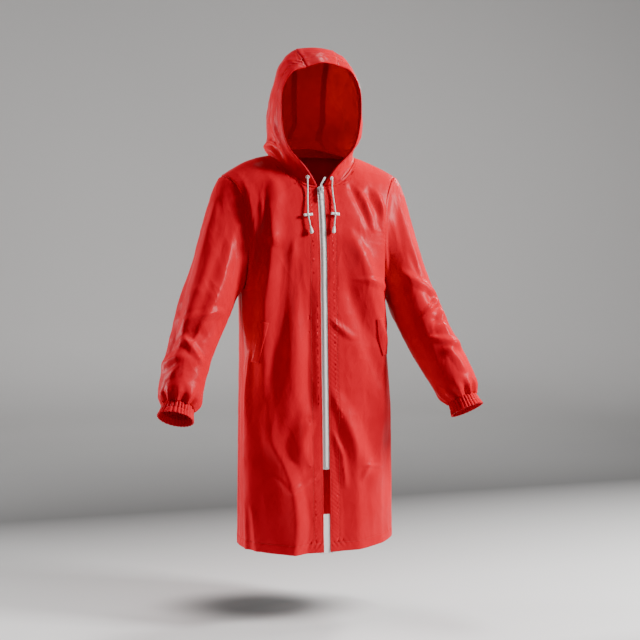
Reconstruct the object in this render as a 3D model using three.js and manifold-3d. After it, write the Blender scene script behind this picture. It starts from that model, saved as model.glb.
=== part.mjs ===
// A child's hooded rain coat, about size 134 to 140, filled out as it is worn with nobody in it.
// Millimetres, +Z up. The front faces -Y and +X is the wearer's left. The origin lies between the
// shoulders, level with the points where the shoulder seams meet the neck.
// Every cloth piece is a thin wall round a sheet of middle points that a formula works out.

import * as THREE from 'three';
import { mergeVertices } from 'three/addons/utils/BufferGeometryUtils.js';
import loadSolids from 'manifold-3d';

// Driving dimensions
const WALL = 1.6;               // thickness of the cloth walls
const SEAM_GAP = 0.3;           // air between two pieces that a seam joins
const EDGE_EASE = 0.2;          // how far each edge draws back from a seam line
const SHARP_EASE = 0.8;         // the same where two panels meet at an angle
const SLOT_HALF = 6.5;          // half of the slot between the two fronts, where the zip lies
const HEM_Z = -763;             // middle of the hem
const HEM_RISE = 7;             // how much higher the hem is at the sides
const ARMPIT_Z = -262;
const NECK_HALF = 88;           // half width of the neck at the shoulder seams
const SHOULDER_HALF = 183;      // half width at the tips of the shoulder seams
const LEFT_SHOULDER_IN = 12;    // the wearer's left tip lies this much nearer to the middle
const SHOULDER_SLOPE = 0.47;    // fall of the shoulder seam for each millimetre outwards
const SHOULDER_BULGE = 8;       // how far the seam stands above a straight line half way
const LEFT_BULGE = 4;           // the same on the wearer's left
const FRONT_NECK_Z = -62;       // top of the zip
const BACK_NECK_Z = 20;         // middle of the neck behind
const NAPE_CREST = 24;          // how far the arches rise behind the neck
const STRIP_NAPE_HALF = 35;     // half width of the lower end of the hood's middle strip
const NAPE_SHIFT = 10;          // that end lies this far to the wearer's left

// Numbers of faces
const SKIRT_ROWS = 10;
const CHEST_ROWS = 5;
const NECK_ROWS = 6;
const PANEL_COLUMNS = 12;
const HOOD_ROWS = 11;

const vec = (x, y, z) => new THREE.Vector3(x, y, z);
const mix = (a, b, t) => a + (b - a) * t;
const clamp01 = (t) => Math.min(1, Math.max(0, t));
const smooth = (t) => clamp01(t) ** 2 * (3 - 2 * clamp01(t));
const degrees = (angle) => (angle * Math.PI) / 180;

// The value of one column of a table at a place along another, on a smooth curve through the rows.
function tableValue(table, key, column, at) {
  const last = table.length - 1;
  const rising = table[last][key] > table[0][key] ? 1 : -1;
  let i = 0;
  while (i < last - 1 && rising * (at - table[i + 1][key]) > 0) i += 1;
  const slope = (j) => {
    const before = table[Math.max(0, j - 1)];
    const after = table[Math.min(last, j + 1)];
    return (after[column] - before[column]) / (after[key] - before[key]);
  };
  const span = table[i + 1][key] - table[i][key];
  const t = clamp01((at - table[i][key]) / span);
  return (
    (2 * t ** 3 - 3 * t ** 2 + 1) * table[i][column] +
    (t ** 3 - 2 * t ** 2 + t) * span * slope(i) +
    (3 * t ** 2 - 2 * t ** 3) * table[i + 1][column] +
    (t ** 3 - t ** 2) * span * slope(i + 1)
  );
}

// A sheet is a list of middle points and the faces that share them. Its rows are equally long.
function gridSheet(rows, closed = false, turned = false) {
  const width = rows[0].length;
  const points = rows.flat().map((p) => p.clone());
  const faces = [];
  for (let r = 0; r + 1 < rows.length; r += 1) {
    for (let c = 0; c < (closed ? width : width - 1); c += 1) {
      const next = (c + 1) % width;
      const face = [r * width + c, r * width + next, (r + 1) * width + next, (r + 1) * width + c];
      faces.push(turned ? face.reverse() : face);
    }
  }
  return { points, faces };
}

// The same sheet on the wearer's right, where x is negative.
function mirrored(sheet) {
  return {
    points: sheet.points.map((p) => vec(-p.x, p.y, p.z)),
    faces: sheet.faces.map((face) => [...face].reverse()),
  };
}

// Several sheets as one, with points that lie in the same place shared.
function joined(sheets) {
  const points = [];
  const faces = [];
  const known = new Map();
  for (const sheet of sheets) {
    const index = sheet.points.map((p) => {
      const key = [p.x, p.y, p.z].map((v) => Math.round(v * 500)).join();
      if (!known.has(key)) {
        known.set(key, points.length);
        points.push(p);
      }
      return known.get(key);
    });
    for (const face of sheet.faces) faces.push(face.map((i) => index[i]));
  }
  return { points, faces };
}

// Area-weighted directions of a sheet at its points, looking outwards.
function sheetNormals({ points, faces }) {
  const normals = points.map(() => vec(0, 0, 0));
  for (const face of faces) {
    const across = points[face[2]].clone().sub(points[face[0]]);
    const other = points[face[face.length - 1]].clone().sub(points[face[1]]);
    const normal = across.cross(other);
    for (const i of face) normals[i].add(normal);
  }
  return normals.map((n) => n.normalize());
}

// A closed wall round a sheet. facing gives the direction of the wall's edge where two pieces
// share a seam, so that their edges stay parallel. raise lifts the outer points alone.
function clothWall(sheet, { thickness = WALL, facing = null, raise = null } = {}) {
  const { points, faces } = sheet;
  const count = points.length;
  const directed = new Set();
  for (const face of faces) {
    face.forEach((a, k) => directed.add(`${a},${face[(k + 1) % face.length]}`));
  }
  const rim = [...directed]
    .map((edge) => edge.split(',').map(Number))
    .filter(([a, b]) => !directed.has(`${b},${a}`));
  const normals = sheetNormals(sheet);
  if (facing) {
    for (const [a] of rim) normals[a] = facing(points[a]);
  }
  const position = [];
  points.forEach((p, i) => {
    const lift = thickness / 2 + (raise ? raise[i] : 0);
    position.push(...p.clone().addScaledVector(normals[i], lift).toArray());
  });
  points.forEach((p, i) => {
    position.push(...p.clone().addScaledVector(normals[i], -thickness / 2).toArray());
  });
  const index = [];
  const addTriangle = (a, b, c) => index.push(a, b, c, c + count, b + count, a + count);
  for (const face of faces) {
    if (face.length === 3) {
      addTriangle(...face);
      continue;
    }
    const [a, b, c, d] = face;
    const firstShorter = points[a].distanceTo(points[c]) <= points[b].distanceTo(points[d]);
    if (firstShorter) {
      addTriangle(a, b, c);
      addTriangle(a, c, d);
    } else {
      addTriangle(a, b, d);
      addTriangle(b, c, d);
    }
  }
  for (const [a, b] of rim) {
    index.push(b, a, a + count, b, a + count, b + count);
  }
  const geometry = new THREE.BufferGeometry();
  geometry.setAttribute('position', new THREE.Float32BufferAttribute(position, 3));
  geometry.setIndex(index);
  geometry.computeVertexNormals();
  return geometry;
}

// The same sheet moved outwards along its own normals.
function shifted(sheet, distance) {
  const normals = sheetNormals(sheet);
  const points = sheet.points.map((p, i) => p.clone().addScaledVector(normals[i], distance));
  return { points, faces: sheet.faces };
}

// Moves a point towards another one by a distance.
const drawnTo = (p, target, distance) =>
  p.clone().addScaledVector(target.clone().sub(p).normalize(), distance);

// Materials
const redCloth = () => new THREE.MeshStandardMaterial({ color: 0xc4161c, roughness: 0.38 });
const whiteTape = () => new THREE.MeshStandardMaterial({ color: 0xeeeeee, roughness: 0.7 });
const whitePlastic = () => new THREE.MeshStandardMaterial({ color: 0xf4f3f0, roughness: 0.35 });
const zipMetal = () =>
  new THREE.MeshStandardMaterial({ color: 0xcfd0d2, roughness: 0.3, metalness: 0.9 });

const coat = new THREE.Group();

function addPiece(name, geometry, material) {
  const mesh = new THREE.Mesh(geometry, material);
  mesh.name = name;
  coat.add(mesh);
  return mesh;
}

// The body: level rings from the hem to the armpits, arches over the shoulders above them.
// right and left are the half widths on the wearer's two sides, sideY is where the side seams lie,
// front and back are the depths from there, and boxy is the exponent of the ring's curve: 2 is an
// ellipse and more is squarer.
const BODY_RINGS = [
  { z: HEM_Z, right: 157, left: 157, sideY: -32, front: 84, back: 88, boxy: 2.3 },
  { z: -500, right: 153, left: 153, sideY: -33, front: 72, back: 98, boxy: 2.5 },
  { z: -400, right: 150, left: 145, sideY: -32, front: 68, back: 101, boxy: 2.7 },
  { z: -320, right: 149, left: 140, sideY: -31, front: 66, back: 103, boxy: 2.8 },
  { z: ARMPIT_Z, right: 149, left: 141, sideY: -28, front: 66, back: 103, boxy: 3 },
];
const ARMPIT_RING = BODY_RINGS[BODY_RINGS.length - 1];
const YOKE_HALF = 205;          // half width that the arches tend to at shoulder height
const ARCH_FRONT = 2.1;         // exponents of the arches' curves
const ARCH_BACK = 3.4;
const RIDGE_TIP_Y = -8;         // the shoulder seam comes forward to this at its tip
const ARMHOLE_INSET = 9;        // how far the armhole cuts in from the side seam

// Folds of the body. across is the distance from the middle of the front or back, measured round
// the cloth. depth is above 0 for a ridge and below 0 for a trough.
const BODY_FOLDS = [
  { part: 'front', side: -1, across0: 58, z0: -160, across1: 104, z1: -580, width: 15, depth: -8 },
  { part: 'front', side: -1, across0: 104, z0: -540, across1: 80, z1: -790, width: 26, depth: -8 },
  { part: 'front', side: -1, across0: 118, z0: -95, across1: 150, z1: -380, width: 17, depth: -7 },
  { part: 'front', side: -1, across0: 88, z0: -40, across1: 92, z1: -185, width: 13, depth: 6 },
  { part: 'front', side: -1, across0: 40, z0: -300, across1: 55, z1: -700, width: 22, depth: 5 },
  { part: 'front', side: -1, across0: 165, z0: -400, across1: 150, z1: -790, width: 20, depth: 5 },
  { part: 'front', side: 1, across0: 56, z0: -36, across1: 106, z1: -150, width: 10, depth: -6 },
  { part: 'front', side: 1, across0: 96, z0: -58, across1: 140, z1: -150, width: 10, depth: -6 },
  { part: 'front', side: 1, across0: 60, z0: -150, across1: 160, z1: -370, width: 16, depth: 6 },
  { part: 'front', side: 1, across0: 40, z0: -220, across1: 130, z1: -470, width: 18, depth: -5 },
  { part: 'front', side: 1, across0: 15, z0: -490, across1: 120, z1: -660, width: 18, depth: 5 },
  { part: 'front', side: 1, across0: 140, z0: -520, across1: 125, z1: -790, width: 24, depth: -6 },
  { part: 'back', side: -1, across0: 50, z0: -110, across1: 70, z1: -600, width: 20, depth: -8 },
  { part: 'back', side: -1, across0: 118, z0: -150, across1: 130, z1: -790, width: 20, depth: -6 },
  { part: 'back', side: -1, across0: 20, z0: -420, across1: 35, z1: -790, width: 20, depth: 6 },
  { part: 'back', side: 1, across0: 36, z0: -90, across1: 62, z1: -480, width: 18, depth: -7 },
  { part: 'back', side: 1, across0: 96, z0: -180, across1: 104, z1: -790, width: 22, depth: 7 },
  { part: 'back', side: 1, across0: 58, z0: -450, across1: 66, z1: -790, width: 18, depth: -6 },
];

// The height of a fold at a place: a rounded bank across it, that dies away at both ends.
function foldHeight(fold, across, z) {
  const [runA, runZ] = [fold.across1 - fold.across0, fold.z1 - fold.z0];
  const length = Math.hypot(runA, runZ);
  const along = ((across - fold.across0) * runA + (z - fold.z0) * runZ) / length ** 2;
  const off = ((across - fold.across0) * runZ - (z - fold.z0) * runA) / length;
  const ends = smooth(along / 0.22) * smooth((1 - along) / 0.22);
  return fold.depth * ends * Math.exp(-((off / fold.width) ** 2));
}

// The direction in which the body's cloth faces, from its place alone.
const bodyFacing = (p) =>
  vec(p.x * 0.27, p.y + 27, Math.max(0, p.z + 130) * 0.8).normalize();

const SIDE_NAMES = { '-1': 'right', 1: 'left' };
const ringValue = (column, z) => tableValue(BODY_RINGS, 'z', column, z);
const ringHalf = (side, z) => ringValue(SIDE_NAMES[side], z);

// A point of a level ring of the body: x is given, y follows from the ring's curve.
function ringPoint(x, z, isFront, side) {
  const reach = Math.min(1, x / ringHalf(side, z));
  const boxy = ringValue('boxy', z);
  const bulge = (1 - reach ** boxy) ** (1 / boxy);
  const depth = isFront ? -ringValue('front', z) : ringValue('back', z);
  return vec(x, ringValue('sideY', z) + depth * bulge, z);
}

// Height of the shoulder seam, which runs on as a rounded crest inside the neck.
function ridgeZ(x, isFront, side) {
  const run = SHOULDER_HALF - NECK_HALF;
  if (x > NECK_HALF) {
    const along = (x - NECK_HALF) / run;
    const bulge = side < 0 ? SHOULDER_BULGE : LEFT_BULGE;
    return bulge * Math.sin(Math.PI * Math.min(1, along)) - SHOULDER_SLOPE * run * along;
  }
  const slope = SHOULDER_SLOPE - (SHOULDER_BULGE * Math.PI) / run;
  const crest = isFront ? 0 : NAPE_CREST * (1 - (x / NECK_HALF) ** 2) ** 2;
  return crest + (slope * (NECK_HALF ** 2 - x ** 2)) / (2 * NECK_HALF);
}

// A point of an arch over the shoulder. rise is 0 level with the armpit and 90 at the seam.
function archPoint(x, rise, isFront, side) {
  const halfWidth = mix(ARMPIT_RING[SIDE_NAMES[side]], YOKE_HALF, smooth(rise / 90));
  const bulge = (1 - (x / halfWidth) ** ARMPIT_RING.boxy) ** (1 / ARMPIT_RING.boxy);
  const depth = isFront ? -ARMPIT_RING.front : ARMPIT_RING.back;
  const baseY = ARMPIT_RING.sideY + depth * bulge;
  const seamY = RIDGE_TIP_Y * clamp01((x - NECK_HALF) / (SHOULDER_HALF - NECK_HALF));
  const [out, up] = [Math.cos(degrees(rise)), Math.sin(degrees(rise))];
  const power = isFront ? ARCH_FRONT : ARCH_BACK;
  const reach = 1 / (out ** power + up ** power) ** (1 / power);
  return vec(
    x,
    seamY + (baseY - seamY) * reach * out,
    ARMPIT_Z + (ridgeZ(x, isFront, side) - ARMPIT_Z) * reach * up,
  );
}

// How far round the arch the middle of the neck lies, from the neck's height there.
function neckRise(neckZ, isFront) {
  const power = isFront ? ARCH_FRONT : ARCH_BACK;
  const up = (neckZ - ARMPIT_Z) / (ridgeZ(0, isFront, 1) - ARMPIT_Z);
  const out = (1 - up ** power) ** (1 / power);
  return (Math.atan2(up, out) * 180) / Math.PI;
}

// Half width of the armhole's edge: it curves in from the side seam, then out to the shoulder.
function armholeX(rise, side) {
  const base = ARMPIT_RING[SIDE_NAMES[side]];
  const cut = ARMHOLE_INSET * Math.sqrt(1 - (1 - clamp01(rise / 24)) ** 2);
  const tip = SHOULDER_HALF - (side > 0 ? LEFT_SHOULDER_IN : 0);
  return base - cut + (tip - base + ARMHOLE_INSET) * smooth((rise - 20) / 72) ** 1.3;
}

// Angles round the neckline, from its middle to the shoulder seam. The back's second step ends
// where the hood's middle strip does.
const FRONT_NECK_ANGLES = Array.from({ length: NECK_ROWS + 1 }, (_, k) => (90 * k) / NECK_ROWS);

function backNeckAngles(side) {
  const edge = (Math.asin((STRIP_NAPE_HALF + side * NAPE_SHIFT) / NECK_HALF) * 180) / Math.PI;
  return [0, edge / 2, edge, mix(edge, 90, 0.25), mix(edge, 90, 0.5), mix(edge, 90, 0.75), 90];
}

// Half of a front or back as rows of points, from the hem up, on the wearer's left. side says
// which side's folds it has. The first column is the middle and the last is the side and armhole.
function bodyHalf(part, side) {
  const isFront = part === 'front';
  const middleX = isFront ? SLOT_HALF : 0;
  const neckAngles = isFront ? FRONT_NECK_ANGLES : backNeckAngles(side);
  const startRise = neckRise(isFront ? FRONT_NECK_Z : BACK_NECK_Z, isFront);
  const spread = (s) => Math.sin(degrees(90 * s));
  const columns = Array.from({ length: PANEL_COLUMNS + 1 }, (_, c) => c / PANEL_COLUMNS);
  const rows = [];
  for (let r = 0; r < SKIRT_ROWS; r += 1) {
    rows.push(columns.map((s) => {
      const z = mix(HEM_Z + HEM_RISE * spread(s) ** 2, ARMPIT_Z, r / SKIRT_ROWS);
      return ringPoint(mix(middleX, ringHalf(side, z), spread(s)), z, isFront, side);
    }));
  }
  const archRows = CHEST_ROWS + NECK_ROWS;
  for (let r = 0; r <= archRows; r += 1) {
    const neckAngle = r < CHEST_ROWS ? 0 : neckAngles[r - CHEST_ROWS];
    const innerRise = r < CHEST_ROWS
      ? (startRise * r) / CHEST_ROWS
      : 90 - (90 - startRise) * Math.cos(degrees(neckAngle));
    const innerX = mix(middleX, NECK_HALF, Math.sin(degrees(neckAngle)));
    const outerRise = (90 * r) / archRows;
    const outerX = armholeX(outerRise, side);
    rows.push(columns.map((s) =>
      archPoint(mix(innerX, outerX, spread(s)), mix(innerRise, outerRise, s), isFront, side)));
  }
  return rows.map((row) => {
    let across = 0;
    const reach = row.map((p, c) => (across += c ? p.distanceTo(row[c - 1]) : p.x));
    return row.map((p, c) => {
      const fromSide = smooth((reach[PANEL_COLUMNS] - reach[c]) / 26);
      const fromMiddle = smooth((reach[c] - reach[0] - 14) / 34);
      const height = BODY_FOLDS
        .filter((fold) => fold.part === part && fold.side === side)
        .reduce((sum, fold) => sum + foldHeight(fold, reach[c], p.z), 0);
      return p.clone().addScaledVector(bodyFacing(p), height * fromSide * fromMiddle);
    });
  });
}

// Draws the side seam's and the shoulder seam's edges back, so that the panels clear each other.
function eased(rows) {
  const last = PANEL_COLUMNS;
  return rows.map((row, r) =>
    row.map((p, c) => {
      let moved = p;
      if (c === last && r <= SKIRT_ROWS) moved = drawnTo(moved, row[c - 1], EDGE_EASE);
      if (r === rows.length - 1) moved = drawnTo(moved, rows[r - 1][c], EDGE_EASE);
      return moved;
    }));
}

const halves = {};
for (const side of [-1, 1]) {
  halves[side] = { front: bodyHalf('front', side), back: bodyHalf('back', side) };
}

const backHalves = [-1, 1].map((side) => {
  const sheet = gridSheet(eased(halves[side].back), false, true);
  return side < 0 ? mirrored(sheet) : sheet;
});
addPiece('back_panel', clothWall(joined(backHalves), { facing: bodyFacing }), redCloth());

for (const side of [-1, 1]) {
  const sheet = gridSheet(eased(halves[side].front));
  const wall = clothWall(side < 0 ? mirrored(sheet) : sheet, { facing: bodyFacing });
  addPiece(`front_panel_${SIDE_NAMES[side]}`, wall, redCloth());
}

// The sleeves: each starts at the armhole's edge and runs down, out and forward to the gathers
// over the cuff. lateral and forward are the half widths of a section across the arm.
const SLEEVE_SECTIONS = {
  '-1': [
    { at: 0, x: 219, y: -50, z: -290, lateral: 49, forward: 58 },
    { at: 0.4, x: 252, y: -84, z: -368, lateral: 41.5, forward: 49 },
    { at: 0.74, x: 276, y: -115, z: -430, lateral: 41, forward: 44 },
    { at: 0.93, x: 282, y: -131, z: -456, lateral: 39, forward: 40 },
    { at: 1, x: 286, y: -138, z: -468, lateral: 29, forward: 29 },
  ],
  1: [
    { at: 0, x: 198, y: -50, z: -290, lateral: 46.5, forward: 58 },
    { at: 0.38, x: 222, y: -80, z: -358, lateral: 46.5, forward: 51 },
    { at: 0.74, x: 250, y: -115, z: -425, lateral: 44, forward: 45 },
    { at: 0.93, x: 262, y: -131, z: -458, lateral: 40, forward: 40 },
    { at: 1, x: 267, y: -139, z: -474, lateral: 29, forward: 29 },
  ],
};
const CAP_RINGS = 6;
const UPPER_STEPS = [0.14, 0.28, 0.42];
const LOWER_STEPS = [0.423, 0.56, 0.68, 0.8];
const GATHER_STEPS = [0.87, 0.93, 0.97, 1];
const GATHER_WAVES = 11;
const GATHER_DEPTH = 3;

// Folds of the sleeves: around is the angle from the underarm, over the front of the arm.
const SLEEVE_FOLDS = [
  { side: -1, around0: 60, at0: 0.3, around1: 150, at1: 0.42, width: 0.05, depth: -5 },
  { side: -1, around0: 80, at0: 0.55, around1: 190, at1: 0.66, width: 0.05, depth: 5 },
  { side: -1, around0: 110, at0: -0.5, around1: 120, at1: 0.45, width: 14, depth: 5, along: true },
  { side: -1, around0: 200, at0: 0.3, around1: 290, at1: 0.5, width: 0.05, depth: -5 },
  { side: 1, around0: 70, at0: 0.25, around1: 160, at1: 0.4, width: 0.06, depth: -5 },
  { side: 1, around0: 60, at0: 0.62, around1: 150, at1: 0.52, width: 0.05, depth: 5 },
  { side: 1, around0: 95, at0: -0.4, around1: 110, at1: 0.3, width: 14, depth: -5, along: true },
  { side: 1, around0: 210, at0: 0.35, around1: 300, at1: 0.55, width: 0.05, depth: 5 },
];

function sleeveFoldHeight(fold, around, at) {
  const turn = (around - fold.around0) / (fold.around1 - fold.around0);
  const run = (at - fold.at0) / (fold.at1 - fold.at0);
  const along = fold.along ? run : turn;
  const off = fold.along
    ? around - mix(fold.around0, fold.around1, run)
    : at - mix(fold.at0, fold.at1, turn);
  const ends = smooth(along / 0.3) * smooth((1 - along) / 0.3);
  return fold.depth * ends * Math.exp(-((off / fold.width) ** 2));
}

// Centre and the three directions of a section: down the arm, outwards, and forward.
function armFrame(at, side) {
  const place = (t) =>
    vec(...['x', 'y', 'z'].map((c) => tableValue(SLEEVE_SECTIONS[side], 'at', c, t)));
  const step = 0.02;
  const low = Math.min(Math.max(at, 0), 1 - step);
  const down = place(low + step).sub(place(low)).normalize();
  const forward = vec(1, 0, 0).cross(down).normalize().negate();
  const out = forward.clone().cross(down).normalize();
  if (out.x < 0) out.negate();
  if (forward.y > 0) forward.negate();
  return { centre: place(Math.min(at, 1)), down, out, forward };
}

function armPoint(at, around, side) {
  const { centre, out, forward } = armFrame(at, side);
  const lateral = tableValue(SLEEVE_SECTIONS[side], 'at', 'lateral', at);
  const front = tableValue(SLEEVE_SECTIONS[side], 'at', 'forward', at);
  const gather = smooth((at - 0.84) / 0.16) * GATHER_DEPTH * Math.cos(degrees(around * GATHER_WAVES));
  const folds = SLEEVE_FOLDS
    .filter((fold) => fold.side === side)
    .reduce((sum, fold) => sum + sleeveFoldHeight(fold, around, at), 0);
  const lift = (gather + folds * (1 - smooth((at - 0.75) / 0.15))) / lateral;
  return centre
    .clone()
    .addScaledVector(out, -lateral * Math.cos(degrees(around)) * (1 + lift))
    .addScaledVector(forward, front * Math.sin(degrees(around)) * (1 + lift));
}

// The armhole's edge as a loop: from the armpit up the front, over the tip and down the back.
function armholeLoop(side) {
  const last = PANEL_COLUMNS;
  const front = halves[side].front.slice(SKIRT_ROWS).map((row) => row[last]);
  const back = halves[side].back.slice(SKIRT_ROWS).map((row) => row[last]);
  return [...front, ...back.reverse().slice(1, -1)];
}

function sleeveSheet(side) { // in two parts, above and below the elbow
  const loop = armholeLoop(side);
  const count = loop.length;
  const starts = loop.map((p, j) => {
    const tangent = loop[(j + 1) % count].clone().sub(loop[(j + count - 1) % count]).normalize();
    const facing = bodyFacing(p);
    const away = tangent.cross(facing).normalize();
    const lowness = smooth(1 - Math.min(j, count - j) / 3);
    const point = p.clone()
      .addScaledVector(away, SEAM_GAP + WALL / 2 + EDGE_EASE)
      .addScaledVector(facing, 2.3 * lowness);
    const leaving = away.multiplyScalar(1 - lowness).addScaledVector(facing, lowness).normalize();
    return { point, leaving };
  });
  const around = loop.map((_, j) => (360 * j) / count);
  const top = armFrame(0, side);
  const rows = [];
  for (let r = 0; r <= CAP_RINGS; r += 1) {
    const t = r / CAP_RINGS;
    rows.push(starts.map(({ point, leaving }, j) => {
      const end = armPoint(0, around[j], side);
      const span = end.distanceTo(point);
      const first = point.clone().addScaledVector(leaving, 0.12 * span);
      const second = end.clone().addScaledVector(top.down, -0.38 * span);
      return point.clone().multiplyScalar((1 - t) ** 3)
        .addScaledVector(first, 3 * t * (1 - t) ** 2)
        .addScaledVector(second, 3 * t * t * (1 - t))
        .addScaledVector(end, t ** 3);
    }));
  }
  for (const at of UPPER_STEPS) rows.push(around.map((a) => armPoint(at, a, side)));
  const upper = gridSheet(rows, true, true);

  // Below the elbow the wall is a solid of its own, 0.6 mm further down the arm.
  const lowRows = LOWER_STEPS.map((at) => around.map((a) => armPoint(at, a, side)));
  const forearm = gridSheet(lowRows, true, true);

  // Twice as many points carry the gathers. A row of triangles leads over to them.
  const doubled = Array.from({ length: 2 * count }, (_, j) => (180 * j) / count);
  const gathers = GATHER_STEPS.map((at) => doubled.map((a) => armPoint(at, a, side)));
  const gathered = gridSheet(gathers, true, true);
  const lastRow = lowRows[lowRows.length - 1];
  const link = { points: [...lastRow, ...gathers[0]].map((p) => p.clone()), faces: [] };
  for (let j = 0; j < count; j += 1) {
    const next = (j + 1) % count;
    const fine = (k) => count + ((2 * j + k) % (2 * count));
    link.faces.push([fine(0), fine(1), j]);
    link.faces.push([j, fine(1), next]);
    link.faces.push([next, fine(1), fine(2)]);
  }
  return { upper, lower: joined([forearm, link, gathered]) };
}

for (const side of [-1, 1]) {
  const { upper, lower } = sleeveSheet(side);
  const wall = (sheet) => clothWall(side < 0 ? mirrored(sheet) : sheet);
  addPiece(`sleeve_${SIDE_NAMES[side]}`, wall(upper), redCloth());
  addPiece(`sleeve_lower_${SIDE_NAMES[side]}`, wall(lower), redCloth());
}

// The cuffs: each is a casing drawn up by elastic, with small gathers raised on its outside.
const CUFF_LENGTH = 24;
const CUFF_GATHERS = 28;
const CUFF_POINTS = 4 * CUFF_GATHERS;
const CUFF_RINGS = [
  { down: 1.4, radius: 27, depth: 1.2 },
  { down: 12, radius: 28, depth: 2.2 },
  { down: CUFF_LENGTH, radius: 31, depth: 1.6 },
];

for (const side of [-1, 1]) {
  const { centre, down, out, forward } = armFrame(1, side);
  const raise = [];
  const rows = CUFF_RINGS.map((ring) =>
    Array.from({ length: CUFF_POINTS }, (_, j) => {
      const angle = (2 * Math.PI * j) / CUFF_POINTS;
      raise.push(ring.depth * (0.5 + 0.5 * Math.cos(angle * CUFF_GATHERS)));
      return centre
        .clone()
        .addScaledVector(down, ring.down)
        .addScaledVector(out, -ring.radius * Math.cos(angle))
        .addScaledVector(forward, ring.radius * Math.sin(angle));
    }));
  const sheet = gridSheet(rows, true, true);
  const wall = clothWall(side < 0 ? mirrored(sheet) : sheet, { raise });
  addPiece(`cuff_${SIDE_NAMES[side]}`, wall, redCloth());
}

// The hood: two side panels and a strip between them that runs from the forehead to the nape.
// Its profile is seen from the side, from the face edge over the crown down to the neck, and half
// is half the width of the strip.
const HOOD_PROFILE = [
  { at: 0, y: -80, z: 166, half: 31 },
  { at: 0.1, y: -54, z: 190, half: 35 },
  { at: 0.22, y: -15, z: 205, half: 39 },
  { at: 0.34, y: 28, z: 202, half: 39 },
  { at: 0.46, y: 66, z: 182, half: 38 },
  { at: 0.57, y: 90, z: 150, half: 37 },
  { at: 0.68, y: 98, z: 112, half: 36 },
  { at: 0.8, y: 92, z: 76, half: 35 },
  { at: 0.9, y: 72, z: 46, half: 35 },
  { at: 1, y: 44, z: 22, half: 35 },
];
const HOOD_CORNER = 0.68;       // where the side panel's upper edge becomes its rear edge
const STRIP_CROWN = 5;          // how far the strip's middle stands above its edges
const FACE_EDGE = [
  { at: 0, x: SLOT_HALF, y: -69, z: -62 },
  { at: 0.1, x: 20, y: -72, z: -40 },
  { at: 0.2, x: 37, y: -74, z: -19 },
  { at: 0.29, x: 56, y: -75, z: -2 },
  { at: 0.37, x: 69, y: -75, z: 15 },
  { at: 0.48, x: 77, y: -76, z: 45 },
  { at: 0.61, x: 80, y: -78, z: 85 },
  { at: 0.75, x: 76, y: -79, z: 125 },
  { at: 0.88, x: 58, y: -80, z: 156 },
  { at: 1, x: 31, y: -80, z: 166 },
];
const HOOD_FULLNESS = { '-1': -4, 1: -1 };   // how far a side panel's middle is pushed out
const HOOD_TURN = 0.155;        // the hood is turned: its rear is off to the wearer's left
const HOOD_DROOP = 6;           // its front edge hangs lower on the wearer's right

// The hood's points are worked out for a hood that looks straight ahead, then turned.
function turned(p, side) {
  const shift = HOOD_TURN * Math.max(0, p.y + 40) * smooth((p.z - 24) / 60);
  const droop = smooth((p.z - 100) / 55) * smooth(0.1 - (side * p.x) / 40) * smooth(-(p.y + 20) / 50);
  return vec(p.x + side * shift, p.y, p.z - HOOD_DROOP * droop);
}

const hoodFacing = (p) =>
  vec(p.x, p.y - 5, p.z > 90 ? p.z - 90 : 0.1 * (p.z - 90)).normalize();

const facePoint = (at) => vec(...['x', 'y', 'z'].map((c) => tableValue(FACE_EDGE, 'at', c, at)));

// A point of the strip: across is -1 and 1 at its edges, drawn in by an ease.
const stripPoint = (at, across, ease) => vec(
  across * (tableValue(HOOD_PROFILE, 'at', 'half', at) - ease),
  tableValue(HOOD_PROFILE, 'at', 'y', at),
  tableValue(HOOD_PROFILE, 'at', 'z', at),
);

// The neckline's points on one side, from the zip round to the hood's strip, with the hood's
// own edge standing clear of them.
function necklinePoints(side) {
  const front = halves[side].front.slice(SKIRT_ROWS + CHEST_ROWS).map((row) => row[0]);
  const back = halves[side].back.slice(SKIRT_ROWS + CHEST_ROWS).map((row) => row[0]);
  const all = [...front, ...back.reverse().slice(1)];
  return all.map((p, j) => {
    const before = all[Math.max(0, j - 1)];
    const after = all[Math.min(all.length - 1, j + 1)];
    const away = bodyFacing(p).cross(after.clone().sub(before)).normalize();
    return p.clone().addScaledVector(away, SEAM_GAP + WALL / 2 + 2.2 * EDGE_EASE);
  });
}

// Folds of the hood's sides. back and up run from 0 to 1: from the face edge to the rear, and from
// the neck to the crown.
const HOOD_FOLDS = [
  { side: -1, back0: 0.3, up0: 0.1, back1: 1.02, up1: 0.1, width: 12, depth: 7 },
  { side: -1, back0: 0.35, up0: 0.2, back1: 0.42, up1: 1, width: 16, depth: -5 },
  { side: -1, back0: 0.62, up0: 0.3, back1: 0.6, up1: 0.95, width: 16, depth: 5 },
  { side: 1, back0: 0.3, up0: 0.15, back1: 0.4, up1: 1, width: 16, depth: 5 },
  { side: 1, back0: 0.6, up0: 0.2, back1: 0.66, up1: 0.95, width: 18, depth: -6 },
  { side: 1, back0: 0.25, up0: 0.12, back1: 0.9, up1: 0.12, width: 12, depth: 4 },
];
const HOOD_RUN = [200, 215];    // about how long a side panel is from front to rear, and upwards

function hoodFoldHeight(fold, back, up) {
  const [runB, runU] = [
    (fold.back1 - fold.back0) * HOOD_RUN[0],
    (fold.up1 - fold.up0) * HOOD_RUN[1],
  ];
  const [b, u] = [(back - fold.back0) * HOOD_RUN[0], (up - fold.up0) * HOOD_RUN[1]];
  const length = Math.hypot(runB, runU);
  const along = (b * runB + u * runU) / length ** 2;
  const off = (b * runU - u * runB) / length;
  const ends = smooth(along / 0.25) * smooth((1 - along) / 0.25);
  const edges = smooth(back / 0.16) * smooth((1 - back) / 0.14) * smooth((1 - up) / 0.16);
  return fold.depth * ends * edges * Math.exp(-((off / fold.width) ** 2));
}

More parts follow.
